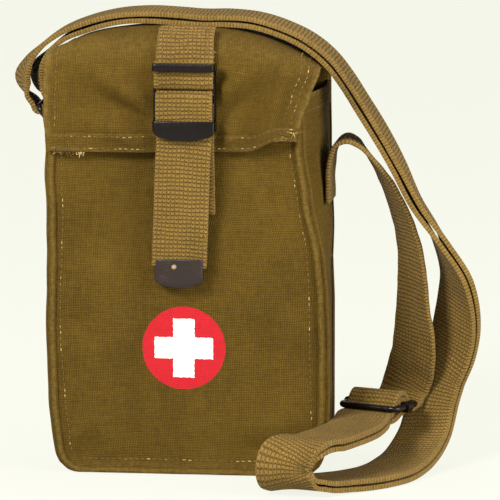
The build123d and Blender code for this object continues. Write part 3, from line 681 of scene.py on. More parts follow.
def corner_inset(z):
    """How far a panel's rounded bottom corner is cut in at a height."""
    if z >= BOTTOM_ROUND:
        return 0.0
    return BOTTOM_ROUND - math.sqrt(max(0.0, BOTTOM_ROUND ** 2 - (BOTTOM_ROUND - z) ** 2))


def front_point(u, v):
    """The front panel, u from left to right and v from bottom to top."""
    z = BODY_TOP * v
    inset = corner_inset(z)
    x = mix(left_edge(z) + inset, right_edge(z) - inset, u)
    return x, FRONT_Y + CANVAS / 2 - front_swell(x, z), z + 0.8 * (1 - v)


def back_point(u, v):
    """The back panel, flatter than the front."""
    z = BODY_TOP * v
    inset = corner_inset(z)
    x = mix(-SIDE_X + inset, back_right_edge(z) - inset, u)
    swell = 1.6 * math.cos(math.pi / 2 * min(1.0, abs(x) / 76.0))
    swell = swell * smooth(z / 40.0) * (1 - smooth((z - 150) / 60))
    swell += 0.35 * ripple(x, z, 30.0, 5.0)
    return x, BACK_Y - CANVAS / 2 + swell * smooth((SIDE_X - abs(x)) / 10.0), z + 0.8 * (1 - v)


# how far each side of the gusset stands out between its two seams, in millimetres
GUSSET_SWELL_LEFT = 4.0
GUSSET_SWELL_RIGHT = 0.4


def gusset_point(u, v):
    """The gusset, u from the front seam to the back and v from the left mouth round to the right."""
    x, z, out = seam_front(v)
    back_x = x
    if x > 0:
        back_x += (back_right_edge(z) - right_edge(z))
    else:
        back_x += -SIDE_X - left_edge(z)
    middle = math.sin(math.pi * u)
    if out[1] > -0.99:
        swell = (GUSSET_SWELL_RIGHT if x > 0 else GUSSET_SWELL_LEFT) * middle ** 0.8
        swell = swell * smooth(z / 40.0) * (1 - smooth((z - 95.0) / 60.0))
        swell += 0.8 * ripple(76.0 * u, z, 22.0, 8.0) * middle
        swell -= ridge((u * 76.0, z), (4.0, 150.0), (30.0, 120.0), 7.0, 1.2) * middle
    else:
        swell = 0.0
    if x > 0:
        squeeze = -5.2 * middle ** 0.7 * smooth((z - 100.0) / 50.0)
    else:
        squeeze = 5.0 * middle * smooth((z - 150.0) / 30.0)
    y = mix(FRONT_Y + CANVAS / 2, BACK_Y - CANVAS / 2, u)
    if abs(out[0]) <= 0.3:
        swell = 0.0
    return mix(x, back_x, u) + out[0] * (swell - squeeze - CANVAS / 2), y, max(1.3 * CANVAS, z)


def edge_wear(u, v):
    """Cloth is rubbed next to its seams and along its fold lines."""
    near = min(u, 1 - u)
    return 0.4 * (1 - smooth(near / 0.035)) + 0.3 * (1 - smooth(v / 0.04))


front_cloth = cloth("front_panel_canvas", front_point, 110, 150, (150, BODY_TOP), canvas_printed, edge_wear)
back_cloth = cloth("back_panel_canvas", back_point, 50, 70, (150, BODY_TOP), canvas_material, edge_wear)
gusset_cloth = cloth("gusset_canvas", gusset_point, 34, 230, (76, SEAM_LENGTH), canvas_material,
                     lambda u, v: 0.35 * (1 - smooth(min(u, 1 - u) / 0.08)))
for piece, node, flat in ((front_cloth, "front_panel", (0.150, 0.216)),
                          (back_cloth, "back_panel", (0.150, 0.216)),
                          (gusset_cloth, "gusset", (0.076, SEAM_LENGTH * MM))):
    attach(piece, "bag")
    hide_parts(node)

# %% [markdown]
# ## The stood-up seam
#
# The edges of the front and the gusset are turned out and sewn together, so two ribs of folded cloth
# run side by side round the front with a dark groove between them. Each rib is a strip bent over
# into a narrow arch, and it wavers a little as sewn cloth does.

# %% Seam ribs
RIB_HIGH = 2.3
RIB_WIDE = 2.6
SEAM_TOP_V = (BODY_TOP - 198.0) / SEAM_LENGTH


def rib(name, made, across_y):
    """A rib along the front seam, on the front's face or on the gusset's."""

    def place(u, v):
        w = mix(SEAM_TOP_V * 0.4, 1 - SEAM_TOP_V * 0.4, v)
        x, z, out = seam_front(w)
        angle = math.pi * u
        waver = 0.35 * noise.noise(Vector((v * 34.0, across_y, 3.0)))
        if across_y:
            base_y = FRONT_Y + 3.0 - RIB_WIDE / 2 * math.cos(angle)
            rise = RIB_HIGH * 0.8 * math.sin(angle) ** 0.7 - 0.4 + waver
            return x + out[0] * rise, base_y, max(1.4, z + out[1] * rise * (0.3 if out[1] < -0.5 else 1))
        inward = RIB_WIDE / 2 + 0.6 + RIB_WIDE / 2 * math.cos(angle) + waver
        return (x - out[0] * inward, FRONT_Y - RIB_HIGH * math.sin(angle) ** 0.7 + 0.4,
                max(1.2, z - out[1] * inward))

    return cloth(name, place, 8, 420, (7.0, SEAM_LENGTH), made,
                 lambda u, v: 0.45 * math.sin(math.pi * u) ** 4, thick=0.8 * MM, offset=1.0)


canvas_rib = canvas("canvas_rib", srgb(76, 59, 21), srgb(100, 79, 31), srgb(116, 93, 46))
front_rib = rib("front_welt_canvas", canvas_rib, 0)
side_rib = rib("gusset_welt_canvas", canvas_rib, 1)
for piece, node in ((front_rib, "front_welt"), (side_rib, "gusset_welt")):
    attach(piece, "bag")
    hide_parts(node)
    (0.0075 if piece is front_rib else 0.0062) * SEAM_LENGTH * MM


# %% [markdown]
# ## Hems of the mouth, the rear seam tapes and the inner wall
#
# The mouth is turned over once and stitched. The rear seam on each side is covered by a flat tape.
# The inner wall makes a flat pocket along the back for the scissors and the tweezers.

# %% Mouth hem, back binding and divider
HEM_Z = 205.0
HEM_END_Y = 25.0


def hem_point(u, v):
    """Round the mouth from the rear left, along the front, to the rear right."""
    z = mix(HEM_Z, BODY_TOP + 0.6, v)
    side = HEM_END_Y - FRONT_Y
    run = (side, 141.0, side)
    down = (BODY_TOP - min(z, BODY_TOP)) / SEAM_LENGTH
    at = u * sum(run)
    if at < run[0]:
        share = 1 - at / run[0]
        x, y, _ = gusset_point(share * side / 76.0, down)
        return x - 1.2, y, z
    if at < run[0] + run[1]:
        share = (at - run[0]) / run[1]
        x, y, _ = front_point(share, min(1.0, z / BODY_TOP))
        return x, y - 1.2, z
    share = (at - run[0] - run[1]) / run[2]
    x, y, _ = gusset_point(share * side / 76.0, 1 - down)
    return x + 1.2, y, z


hem_cloth = cloth("mouth_hem_canvas", hem_point, 150, 8, (267, 11), canvas_rib,
                  lambda u, v: 0.5 * smooth((v - 0.7) / 0.3), thick=1.0 * MM)


def binding(side):
    def place(u, v):
        z = mix(BOTTOM_ROUND, BODY_TOP, v)
        w = (BODY_TOP - z) / SEAM_LENGTH
        x, y, _ = gusset_point(mix(0.84, 0.985, u), w if side < 0 else 1 - w)
        return x + side * 1.3, y, z
    return place


bindings = [cloth(f"back_binding_{word}", binding(side), 6, 90, (12, 204), canvas_rib,
                  lambda u, v: 0.3 * abs(2 * u - 1) ** 3, thick=0.9 * MM)
            for side, word in ((-1, "left"), (1, "right"))]


def divider_point(u, v):
    x = mix(-72.6, 70.0, u)
    z = mix(12.0, 194.0, v)
    bow = 0.8 * math.sin(math.pi * u) * v
    return x, 18.6 - bow + 0.2 * ripple(x, z, 20.0, 4.0), z


divider_cloth = cloth("divider_canvas", divider_point, 40, 50, (146, 182), canvas_material,
                      lambda u, v: 0.4 * smooth((v - 0.95) / 0.05), thick=1.0 * MM)
for piece, nodes, flat in ((hem_cloth, ["mouth_hem"], (0.267, 0.011)),
                           (bindings[0], ["back_binding"], (0.012, 0.204)),
                           (bindings[1], ["back_binding"], (0.012, 0.204)),
                           (divider_cloth, ["divider"], (0.143, 0.182))):
    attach(piece, "bag")
    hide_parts(*nodes)

# %% [markdown]
# ## The flap
#
# The flap is one cloth from the rear seam, over the mouth and down the front. It is highest in the
# middle and droops to both sides. The strap and the buckle pull on it, so folds fan out from the
# buckle, and its right side is drawn in and stands up in one long soft fold.

# %% Flap cloth
FLAP_BACK_Y = 39.0
FLAP_FRONT_Y = -42.75
FLAP_HINGE_Z = 215.6
CREST_ROUND = 30.0
BROW_ROUND = 22.0


def flap_height(x):
    """Height of the flap's crest across the bag. It stands higher on the left, where it is not pulled."""
    share = min(1.0, abs(x) / 79.0)
    return 251.3 - (13.0 if x < 0 else 21.0) * share ** (3.4 if x < 0 else 2.3)


def flap_profile(height, side):
    """The flap's line from back to front for one crest height, and the places along it.

    The brow is a tighter bend at the two sides, where side is 1, than in the middle.
    """
    back_round = min(CREST_ROUND, height - 2.0 - FLAP_HINGE_Z - 1.0)
    front_round = mix(BROW_ROUND, 9.0, side)
    line = [(FLAP_BACK_Y, FLAP_HINGE_Z)]
    top_back, top_front = height - 2.0, height + 0.2
    for k in range(13):
        angle = math.pi / 2 * k / 12
        line.append((FLAP_BACK_Y - back_round * (1 - math.cos(angle)),
                     top_back - back_round * (1 - math.sin(angle))))
    for k in range(13):
        angle = math.pi / 2 * k / 12
        line.append((FLAP_FRONT_Y + front_round * (1 - math.sin(angle)),
                     top_front - front_round * (1 - math.cos(angle))))
    line.append((FLAP_FRONT_Y, LIP_Z))
    far = [0.0]
    for (y0, z0), (y1, z1) in zip(line, line[1:]):
        far.append(far[-1] + math.hypot(y1 - y0, z1 - z0))
    return line, far


def on_profile(height, share, side):
    """The point at a share of the flap's line, and its outward direction in YZ."""
    line, far = flap_profile(height, side)
    along = share * far[-1]
    k = 0
    while k < len(far) - 2 and far[k + 1] < along:
        k += 1
    part = (along - far[k]) / max(1e-6, far[k + 1] - far[k])
    (y0, z0), (y1, z1) = line[k], line[k + 1]
    run = Vector((y1 - y0, z1 - z0)).normalized()
    return mix(y0, y1, part), mix(z0, z1, part), (run.y, -run.x)


def flap_x(u, z, front):
    """Where a place across the flap lies from side to side. Its right side is drawn in lower down."""
    left = mix(-77.5, -80.6 + 1.2 * smooth((205 - z) / 20.0), front)
    right = table(z, (185, 62.0), (200, 65.0), (216, 69.5), (232, 75.5), (250, 77.0))
    right = mix(72.5, right, front)
    return mix(left, right, u ** mix(1.0, 0.97, front))


def flap_folds(x, z):
    """The folds in the flap's front, outwards."""
    out = ridge((x, z), (58, 238), (44, 182), 5.5, 7.4) - ridge((x, z), (45, 234), (31, 188), 5.0, 1.7)
    out += ridge((x, z), (-16, 207), (-62, 236), 6.5, 5.2) + ridge((x, z), (-17, 190), (-66, 203), 7.0, 3.6)
    out -= ridge((x, z), (-16, 198), (-48, 216), 4.2, 2.6)
    out += ridge((x, z), (15, 213), (44, 240), 6.0, 5.2) + ridge((x, z), (15, 189), (36, 199), 6.5, 2.8)
    out -= ridge((x, z), (15, 200), (36, 217), 4.2, 2.6)
    out += ridge((x, z), (-72, 230), (-70, 188), 5.0, 1.2)
    out += 0.7 * ripple(x, z, 19.0, 6.0) + 0.3 * ripple(x, z, 7.0, 9.0)
    return out


def flap_point(u, v, lift=0.0):
    """The flap, u from left to right and v from the rear seam to the lip."""
    x_top = mix(-79.0, 78.0, u)
    height = flap_height(x_top)
    y, z, out = on_profile(height, v, smooth((abs(2 * u - 1) - 0.45) / 0.55))
    front = smooth((v - 0.45) / 0.3)
    x = flap_x(u, z, front)
    calm = smooth((abs(x) - 15.0) / 9.0)
    folds = flap_folds(x, z) * front * mix(0.12, 1.0, calm)
    folds += 0.5 * ripple(x, y, 24.0, 12.0) * (1 - front) * smooth(v / 0.08)
    push = folds * (0.35 if v > 0.93 and folds < 0 else 1.0) + lift
    edge = abs(2 * u - 1) ** 10
    droop = 1.6 * edge * (1 - front)
    y, z = y + out[0] * push, z + out[1] * push - droop
    lift_up = smooth((u - 0.8) / 0.12) * smooth((v - 0.72) / 0.28)
    lip = 6.5 * lift_up - 0.8 * smooth((v - 0.9) / 0.1) * math.sin(u * 5.0 + 0.6)
    return x, y - 1.6 * lift_up, z + lip


FLAP_LONG = 178.0


def flap_wear(u, v):
    side = 1 - smooth(min(u, 1 - u) / 0.03)
    brow = math.exp(-((v - 0.62) / 0.05) ** 2)
    return 0.4 * side + 0.12 * brow


flap_cloth = cloth("flap_canvas", flap_point, 130, 130, (158, FLAP_LONG), canvas_material, flap_wear)
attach(flap_cloth, "flap")
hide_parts("flap_panel")

HEM_SHARE = 11.0 / FLAP_LONG


def flap_hem_point(u, v):
    w = mix(1 - HEM_SHARE, 1.0, v)
    x, y, z = flap_point(u, w, 1.15 + 0.25 * math.sin(math.pi * v))
    return x, y, z - 0.5 * v


flap_hem = cloth("flap_hem_canvas", flap_hem_point, 130, 8, (158, 11), canvas_rib,
                 lambda u, v: 0.35 * smooth((v - 0.6) / 0.4) + 0.25 * smooth((0.25 - v) / 0.25),
                 thick=0.9 * MM)
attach(flap_hem, "flap")
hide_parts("flap_hem")

# %% [markdown]
# ## The closure
#
# A patch of doubled webbing is box-stitched to the brow of the flap. Its end passes down round the
# buckle's upper crossbar and up again. The strap from the bag comes up behind the buckle's lip, over
# the lower crossbar, and hangs down in front with a metal tip.

# %% Webbing of the closure
BAR_Y = -48.6
BACK_LAYER_Y = -46.0
FRONT_LAYER_Y = -51.2
LOWER_BEND_Z = 216.1
UPPER_BEND_Z = 224.0
BEND = 2.6
PATCH_Z = 236.8
ANCHOR_Z = 149.0


def arc(middle_y, middle_z, radius, start, end, x=0.0, turn=90.0, count=6):
    """Stations round a bend in YZ, by angle in degrees from +Y."""
    made = []
    for k in range(count + 1):
        angle = math.radians(mix(start, end, k / count))
        made.append((x, middle_y + radius * math.cos(angle), middle_z + radius * math.sin(angle), turn))
    return made


def patch_layer(lift):
    """The patch on the brow: stations down the flap's middle line, lifted off it."""
    made = []
    for k in range(17):
        share = mix(0.555, 0.735, k / 16)
        _, y, z = flap_point(0.5, share, lift)
        made.append((-0.6, y, z, 90.0))
    return made


patch_low = web("flap_webbing_under", patch_layer(0.75 + 1.3), lift=0.0, step=1.2, across=12,
                wear=selvedge_wear, sway=lambda u, v: (0.9, 0.0))
patch_top = web("flap_webbing_patch", patch_layer(0.75 + 1.3 + 2.5)[1:], lift=0.0, step=1.2, across=12,
                wear=selvedge_wear,
                sway=lambda u, v: (-0.5 + 0.3 * math.sin(7 * v), 0.25 * ripple(u * 31, v * 40, 9.0, 3.0)))
loop_stations = ([(-0.6, FRONT_LAYER_Y, PATCH_Z - 0.5, 90), (-0.6, FRONT_LAYER_Y, 231.0, 90)]
                 + arc(BAR_Y, UPPER_BEND_Z, BEND, 180, 360, x=-0.6, count=10)
                 + [(-0.6, BACK_LAYER_Y, 231.0, 90), (-0.6, BACK_LAYER_Y, PATCH_Z - 0.5, 90)])
loop_web = web("buckle_loop_webbing", loop_stations, width=33.4, thick=2.3, step=1.0, across=12,
               wear=selvedge_wear)
closure_stations = [
    (0, -41.2, ANCHOR_Z, -90), (0, -42.0, 156.0, -90), (0, -42.7, 166.0, -90), (0, -44.2, 175.0, -90),
    (0, BACK_LAYER_Y + 0.2, 183.0, -90), (0, BACK_LAYER_Y, 192.0, -90), (0, BACK_LAYER_Y, 206.0, -90),
] + arc(BAR_Y, LOWER_BEND_Z, BEND, 0, 180, x=-0.4, turn=-90.0, count=10) + [
    (-0.4, FRONT_LAYER_Y, 206.0, -90), (-0.2, FRONT_LAYER_Y, 197.6, -90)]
closure_web = web("closure_strap_webbing", closure_stations, width=32.0, thick=2.3, step=1.0, across=12,
                  wear=selvedge_wear)
tail_stations = [(-0.2, FRONT_LAYER_Y, 197.4, -90), (-0.4, FRONT_LAYER_Y - 0.1, 190.0, -90),
                 (-1.0, FRONT_LAYER_Y - 0.2, 180.0, -90), (-1.6, -50.6, 166.0, -90),
                 (-2.2, -49.9, 150.0, -90), (-2.9, -49.0, 134.0, -90), (-3.5, -48.2, 120.0, -90)]
tail_web = web("strap_tail_webbing", tail_stations, thick=2.3, step=1.0, across=14, wear=selvedge_wear,
               sway=lambda u, v: (0.0, 0.45 * smooth(v / 0.3) * ripple(u * 20, v * 60, 16.0, 21.0)))
for piece, body, nodes in ((patch_low, "flap", ["flap_webbing"]), (patch_top, "flap", ["flap_webbing"]),
                           (loop_web, "flap", ["buckle_loop"]), (closure_web, "bag", ["closure_strap"])):
    if piece is loop_web:
        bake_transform(piece)
    else:
        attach(piece, body)
    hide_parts(*nodes)
    piece["route_mm"] * MM
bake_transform(tail_web)
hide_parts("strap_tail")
tail_web["route_mm"] * MM

# %% [markdown]
# ## The buckle
#
# The buckle is stamped from one sheet. Its top bar and its lip stand proud in front of the web, its
# two rails are set back beside the web, and two bars cross between the rails for the webbing to turn
# on. The lip is dished and its lower edge is a shallow curve.

# %% Buckle
def add_bar(bm, low, high, bevel, shape=None):
    """A bevelled bar between two corners, in millimetres, added to a mesh being made."""
    bar = bmesh.new()
    bmesh.ops.create_cube(bar, size=1.0)
    along = [edge for edge in bar.edges if abs((edge.verts[0].co - edge.verts[1].co).x) > 0.5]
    bmesh.ops.subdivide_edges(bar, edges=along, cuts=14, use_grid_fill=True)
    low, high = Vector(low), Vector(high)
    for vert in bar.verts:
        share = vert.co + Vector((0.5, 0.5, 0.5))
        at = Vector([mix(a, b, t) for a, b, t in zip(low, high, share)])
        vert.co = (Vector(shape(at, share)) if shape else at) * MM
    sharp = [edge for edge in bar.edges if edge.calc_face_angle(0) > 0.6]
    bmesh.ops.bevel(bar, geom=sharp, affect="EDGES", segments=3, profile=0.5, offset=bevel * MM)
    holder = bpy.data.meshes.new("bar")
    bar.to_mesh(holder)
    bar.free()
    bm.from_mesh(holder)
    bpy.data.meshes.remove(holder)


def lip_shape(at, share):
    """The lip's lower edge is a curve, and its face is dished and leans out at the bottom."""
    off = abs(2 * share.x - 1)
    low = 192.2 + 3.6 * off ** 2.4
    z = mix(low, 203.2, share.z)
    return at.x, at.y - 1.0 * (1 - off ** 2) - 0.7 * (1 - share.z), z


def buckle():
    bm = bmesh.new()
    add_bar(bm, (-17.4, -56.2, 231.0), (16.8, -53.6, 235.5), 0.95)
    add_bar(bm, (-17.0, -55.0, 192.2), (17.0, -53.2, 203.2), 0.6, lip_shape)
    for side in (-1, 1):
        x0, x1 = sorted((side * 16.3, side * 17.6))
        add_bar(bm, (x0, -50.6, 199.0), (x1, -48.0, 235.0), 0.35)
        add_bar(bm, (x0, -55.6, 231.2), (x1, -48.2, 235.3), 0.4)
        add_bar(bm, (x0, -55.0, 197.5), (x1, -48.2, 203.0), 0.4)
    for z in (212.8, 223.0):
        add_bar(bm, (-16.8, -49.7, z), (16.8, -47.5, z + 4.3), 0.9)
    return new_object("buckle_stamped", bm, steel_black)


buckle_piece = buckle()
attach(buckle_piece, "buckle")
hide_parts("buckle_frame")

# %% [markdown]
# ## The metal tip
#
# The tip is a folded channel of thin sheet, rounded at its foot and pinched shut on the web. It is
# spun from nothing simpler than a box, so it starts as one, is subdivided, rounded and puffed.

# %% Strap tip and rivet
def tip():
    bm = bmesh.new()
    bmesh.ops.create_cube(bm, size=1.0)
    bmesh.ops.subdivide_edges(bm, edges=bm.edges[:], cuts=15, use_grid_fill=True)
    for vert in bm.verts:
        x, y, z = vert.co
        half, tall, wall = 13.7, 8.3, 2.3
        px, pz = 2 * x, 2 * z
        low = smooth(-pz)
        power = 2.6
        length = (abs(px) ** (power * 2.2) + abs(pz) ** (power * 2.2)) ** (1 / (power * 2.2))
        biggest = max(abs(px), abs(pz))
        if length > 1e-6 and pz < 0:
            shrink = biggest / length
            px, pz = px * mix(1.0, shrink, low), pz * mix(1.0, shrink, low)
        rim = max(abs(px), abs(pz) if pz < 0 else 0.0)
        puff = wall * (1.0 - 0.38 * smooth((rim - 0.72) / 0.28))
        dent = 0.16 * noise.noise(Vector((px * 2.5, pz * 2.5, 3.0)))
        at_z = 124.6 - tall + pz * tall + 3.0 * max(0.0, -pz) * abs(px) ** 2.4
        at_y = -48.15 + (124.6 - at_z) * 0.055 + y * 2 * (puff + dent)
        vert.co = Vector((-3.6 + px * half, at_y, at_z)) * MM
    return new_object("strap_tip_metal", bm, tip_brown)


strap_tip = tip()
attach(strap_tip, "tail")
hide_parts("strap_tip")


def rivet():
    bm = bmesh.new()
    bmesh.ops.create_cone(bm, cap_ends=True, segments=24, radius1=1.55 * MM, radius2=0.85 * MM,
                          depth=0.8 * MM)
    bmesh.ops.bevel(bm, geom=bm.edges[:], affect="EDGES", segments=3, profile=0.5, offset=0.22 * MM,
                    material=-1)
    bmesh.ops.rotate(bm, verts=bm.verts[:], cent=(0, 0, 0), matrix=Matrix.Rotation(math.pi / 2, 3, "X"))
    bmesh.ops.translate(bm, verts=bm.verts[:], vec=Vector((-6.2, -50.6, 120.3)) * MM)
    return new_object("tip_rivet_head", bm, rivet_tan)


rivet_head = rivet()
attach(rivet_head, "tail")
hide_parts("tip_rivet")

# %% [markdown]
# ## The shoulder strap
#
# It is one web about 1.7 metres long. It is sewn to the right side, bends over, goes down
# through the slider, round on the table, up over the top, through the ring on the left and back
# beside itself to the slider's middle bar. The stations follow the same route as the model's.

# %% Shoulder strap routes
RING_X, RING_Z = -87.19, 204.96
SLIDER = (104.0, 0.0, 36.0)
SLIDER_TURN = 66.4
LAYER_STEP = 4.0

OVER_THE_TOP = [
    (RING_X, 0, RING_Z - 3.6, 0), (RING_X - 2.6, 0, RING_Z - 2.4, 0), (RING_X - 4.3, 0, RING_Z + 0.6, 0),
    (-95.6, 0, 211, 0), (-96.6, 0, 218, 0), (-94.6, 0, 226.5, 0), (-88.6, 0, 236, 0), (-76, 0, 246, 0),
    (-60.5, 0, 252.6, 0), (-45, 0, 256.6, 0), (-27, 0, 258.2, 0), (-9, 0, 257.6, 0), (5, 0, 256.6, 0),
    (19, 0, 256.8, 0), (33, 0, 255.8, 0), (48, 0, 251.8, 0), (64, 0, 244.6, 0), (78, 0, 233.6, 0),
    (87, 0, 222, 0), (95.5, 0, 209, 0), (106, 0, 192, 0), (116.5, 0, 173, 2), (127.5, 0, 151, 6),
    (141, 2, 130, 14), (149, 8, 110, 28), (149.4, 15, 89, 45), (144.3, 22, 64, 56), (137.7, 24, 47.6, 60),
    (134.2, 21.5, 34, 61), (130.5, 11, 18, 62), (124.5, -8, 7, 63), (117, -30, 2.4, 64),
    (107, -53, 1.8, 62), (88, -73, 2.2, 62), (73, -87, 3.6, 72)]
U_TURN = [
    (65.5, -95, 6.2, 82), (62, -99.8, 11, 88), (61.5, -101.2, 16.4, 90), (62.5, -100, 22, 88),
    (66, -96, 26.8, 82), (71.5, -90, 29.6, 76), (80, -78, 29.8, 80), (88.5, -61.5, 30.4, 76),
    (94.5, -44, 31, 72), (97, -27, 31.8, 69)]
SIDE_RUN = [
    (113.3, 20.5, 34.5, 66), (116.2, 24.2, 40.5, 63), (118.8, 23.5, 48, 60), (121.5, 19.5, 58, 55),
    (122.8, 15.5, 72, 51), (122.3, 12.5, 91, 40), (122, 11, 107, 35), (120.8, 9.5, 123, 31),
    (115.8, 7, 143.6, 26), (111.9, 5, 154, 23), (105, 3, 168, 18), (97, 1, 179.5, 12),
    (91.5, 0.4, 185.4, 7), (86, 0, 187.6, 3), (81, 0, 185.6, 0), (78.2, 0, 180.5, 0), (76.7, 0, 172, 0),
    (76.5, 0, 152, 0)]
BESIDE_RING = [
    (RING_X, 0, RING_Z - 3.6, 0), (RING_X + 2.6, 0, RING_Z - 2.4, 0), (RING_X + 3.8, 0, RING_Z + 0.6, 0),
    (-87.2, 0, 214, 0), (-88.4, 0, 222, 0), (-84.4, 0, 232.2, 0)]
HUMP = [(-15, -3.4), (-11.5, -3.3), (-8.9, -1.8), (-7.1, 1.2), (-5.2, 4.4), (-2.2, 6.8),
        (2.2, 6.8), (5.2, 4.4), (7.1, 1.2), (8.9, -1.8), (11.5, -3.3), (15, -3.4)]
BAR_TURN = [(-15, -7.2), (-10, -7), (-5, -5.8), (-1.6, -4.2), (1.8, -3.6), (3.7, -1.7), (4, 0.8),
            (2.8, 3), (0.2, 4), (-2.4, 3.4), (-4, 1.4)]
INNER_JOINS = 7


def in_slider(along, up):
    turn = math.radians(SLIDER_TURN)
    return (SLIDER[0] + along * math.cos(turn), SLIDER[1] + along * math.sin(turn), SLIDER[2] + up,
            SLIDER_TURN)


def twisted(stations):
    """The strap leans its outer face to the front where it leaves the ring."""
    made = []
    for x, y, z, turn in stations:
        lean = math.exp(-((z - 219.0) / 11.0) ** 2) if x < -80 else 0.0
        made.append((x - 2.2 * lean, y, z, turn + 21.0 * lean))
    return made


outer_stations = twisted(OVER_THE_TOP) + U_TURN + [in_slider(*p) for p in HUMP]


def stepped_in(stations, first, last):
    """The same stations one layer of webbing further in, away from the outer face."""
    made = []
    for k in range(first, last):
        behind, here, ahead = (Vector(stations[max(0, k - 1)]), Vector(stations[k]),
                               Vector(stations[min(len(stations) - 1, k + 1)]))
        run = (ahead.xyz - behind.xyz).normalized()
        turn = math.radians(here.w)
        wide = Vector((-math.sin(turn), math.cos(turn), 0))
        wide = (wide - run * wide.dot(run)).normalized()
        moved = here.xyz - run.cross(wide) * LAYER_STEP
        made.append((*moved, here.w))
    return made


inner_stations = (twisted(BESIDE_RING) + stepped_in(outer_stations, INNER_JOINS, len(OVER_THE_TOP + U_TURN))
                  + [in_slider(*p) for p in BAR_TURN])
side_stations = [in_slider(*HUMP[-1])] + SIDE_RUN


def strap_sway(seed):
    def sway(u, v):
        side = 0.25 * noise.noise(Vector((v * 60.0, seed, 0.0)))
        curl = 0.35 * noise.noise(Vector((v * 28.0, seed, 5.0))) * (2 * u - 1)
        return side, curl
    return sway


strap_outer = web("shoulder_strap_outer_webbing", outer_stations, thick=2.7, step=1.7, across=12,
                  wear=selvedge_wear, sway=strap_sway(1.0))
strap_inner = web("shoulder_strap_inner_webbing", inner_stations, thick=2.7, step=1.7, across=12,
                  wear=selvedge_wear, sway=strap_sway(2.0))
strap_side = web("shoulder_strap_side_webbing", side_stations, thick=2.6, step=1.7, across=12,
                 wear=selvedge_wear, sway=strap_sway(3.0))
for piece, node in ((strap_outer, "shoulder_strap_outer"), (strap_inner, "shoulder_strap_inner")):
    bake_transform(piece)
    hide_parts(node)
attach(strap_side, "bag")
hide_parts("shoulder_strap_side")
for piece in (strap_outer, strap_inner, strap_side):
    piece["route_mm"] * MM
    print(piece.name, "is", round(piece["route_mm"]), "mm long")

# the chape that holds the ring
chape_stations = ([(-76.5, 0, 168.5, 0), (-76.5, 0, 182.0, 0)]
                  + [(-79.8 + 3.3 * math.cos(math.radians(a)), 0, 195.5 + 3.3 * math.sin(math.radians(a)), 0)
                     for a in range(0, 181, 20)]
                  + [(-81.2, 0, 188.0, 0), (-79.2, 0, 183.0, 0), (-79.2, 0, 168.5, 0)])
chape = web("ring_chape_webbing", chape_stations, thick=2.2, step=1.0, across=10, wear=selvedge_wear)
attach(chape, "bag")
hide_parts("ring_chape")
chape["route_mm"] * MM

# %% [markdown]
# ## Hardware that keeps its model shape
#
# The ring and the slider already have their true shapes, so they only get their metal. The buckle is
# not among them, because it is made above with a dished lip.

# %% CAD nodes with better materials
def repaint(node, made):
    """Give a CAD node a better material in every slot."""
    thing = frame["nodes"][node]
    if not thing.data.materials:
        thing.data.materials.append(made)
    for slot_here in thing.material_slots:
        slot_here.material = made


for node in ("strap_ring", "slider_frame", "slider_bar"):
    repaint(node, steel_black)

# %% [markdown]
# ## The contents
#
# A first aid kit of this sort holds dressings in wrappers, roller bandages, a roll of tape, a box of
# dressings, a bottle, scissors and tweezers. They show when the flap is open, so each has its own
# cloth, paper, card, metal or plastic.

# %% Materials of the contents
def weave_white(name, light, dark, pitch):
    """Loose gauze: thin yarns with open gaps between them."""
    made, shader, places, _ = material(name)
    x, y, z = places.parts()
    up = (z / pitch * math.pi).math("SINE").math("ABSOLUTE")
    round_it = ((x + y) / pitch * math.pi).math("SINE").math("ABSOLUTE")
    yarn = up.math("MAXIMUM", round_it)
    cloud = places.noise(40.0, 3.0)
    tone = (yarn.between(0.3, 0.9) * 0.7 + cloud * 0.3)
    finish_with(shader, made.node_tree, tone.colour(dark, light), cloud.between(0.3, 0.7, 0.8, 0.95),
                yarn + cloud * 0.4, 0.0003)
    return made


def plain(name, dark, light, rough, scale=60.0, depth=0.0001, coat=0.0):
    """Card, paper, plastic or bright steel: two near tones, grain and uneven polish."""
    made, shader, places, _ = material(name)
    cloud = places.noise(scale, 4.0)
    grain = places.noise(scale * 22.0, 2.0)
    tone = (cloud * 0.7 + grain * 0.3).between(0.38, 0.62)
    finish_with(shader, made.node_tree, tone.colour(dark, light),
                cloud.between(0.3, 0.7, rough - 0.06, rough + 0.1), cloud * 0.6 + grain, depth)
    shader.inputs["Coat Weight"].default_value = coat
    return made


gauze_white = weave_white("gauze_bandage", srgb(236, 230, 214), srgb(196, 187, 166), 1.1 * MM)
wrap_cream = weave_white("gauze_wrapper", srgb(214, 200, 168), srgb(180, 163, 128), 0.9 * MM)
card_buff = plain("dressing_card", srgb(186, 164, 124), srgb(204, 184, 146), 0.75)
tape_white = plain("adhesive_tape", srgb(216, 200, 170), srgb(234, 222, 198), 0.6)
spool_grey = plain("spool_plastic", srgb(150, 152, 150), srgb(172, 174, 170), 0.4)
bottle_brown = plain("bottle_amber", srgb(72, 36, 12), srgb(96, 50, 18), 0.18, coat=0.5)
cap_white = plain("cap_plastic", srgb(214, 212, 204), srgb(228, 226, 218), 0.38)
bright_steel = plain("scissor_steel", srgb(168, 168, 166), srgb(196, 196, 194), 0.26, depth=0.00003)
bright_steel.node_tree.nodes["Principled BSDF"].inputs["Metallic"].default_value = 0.9

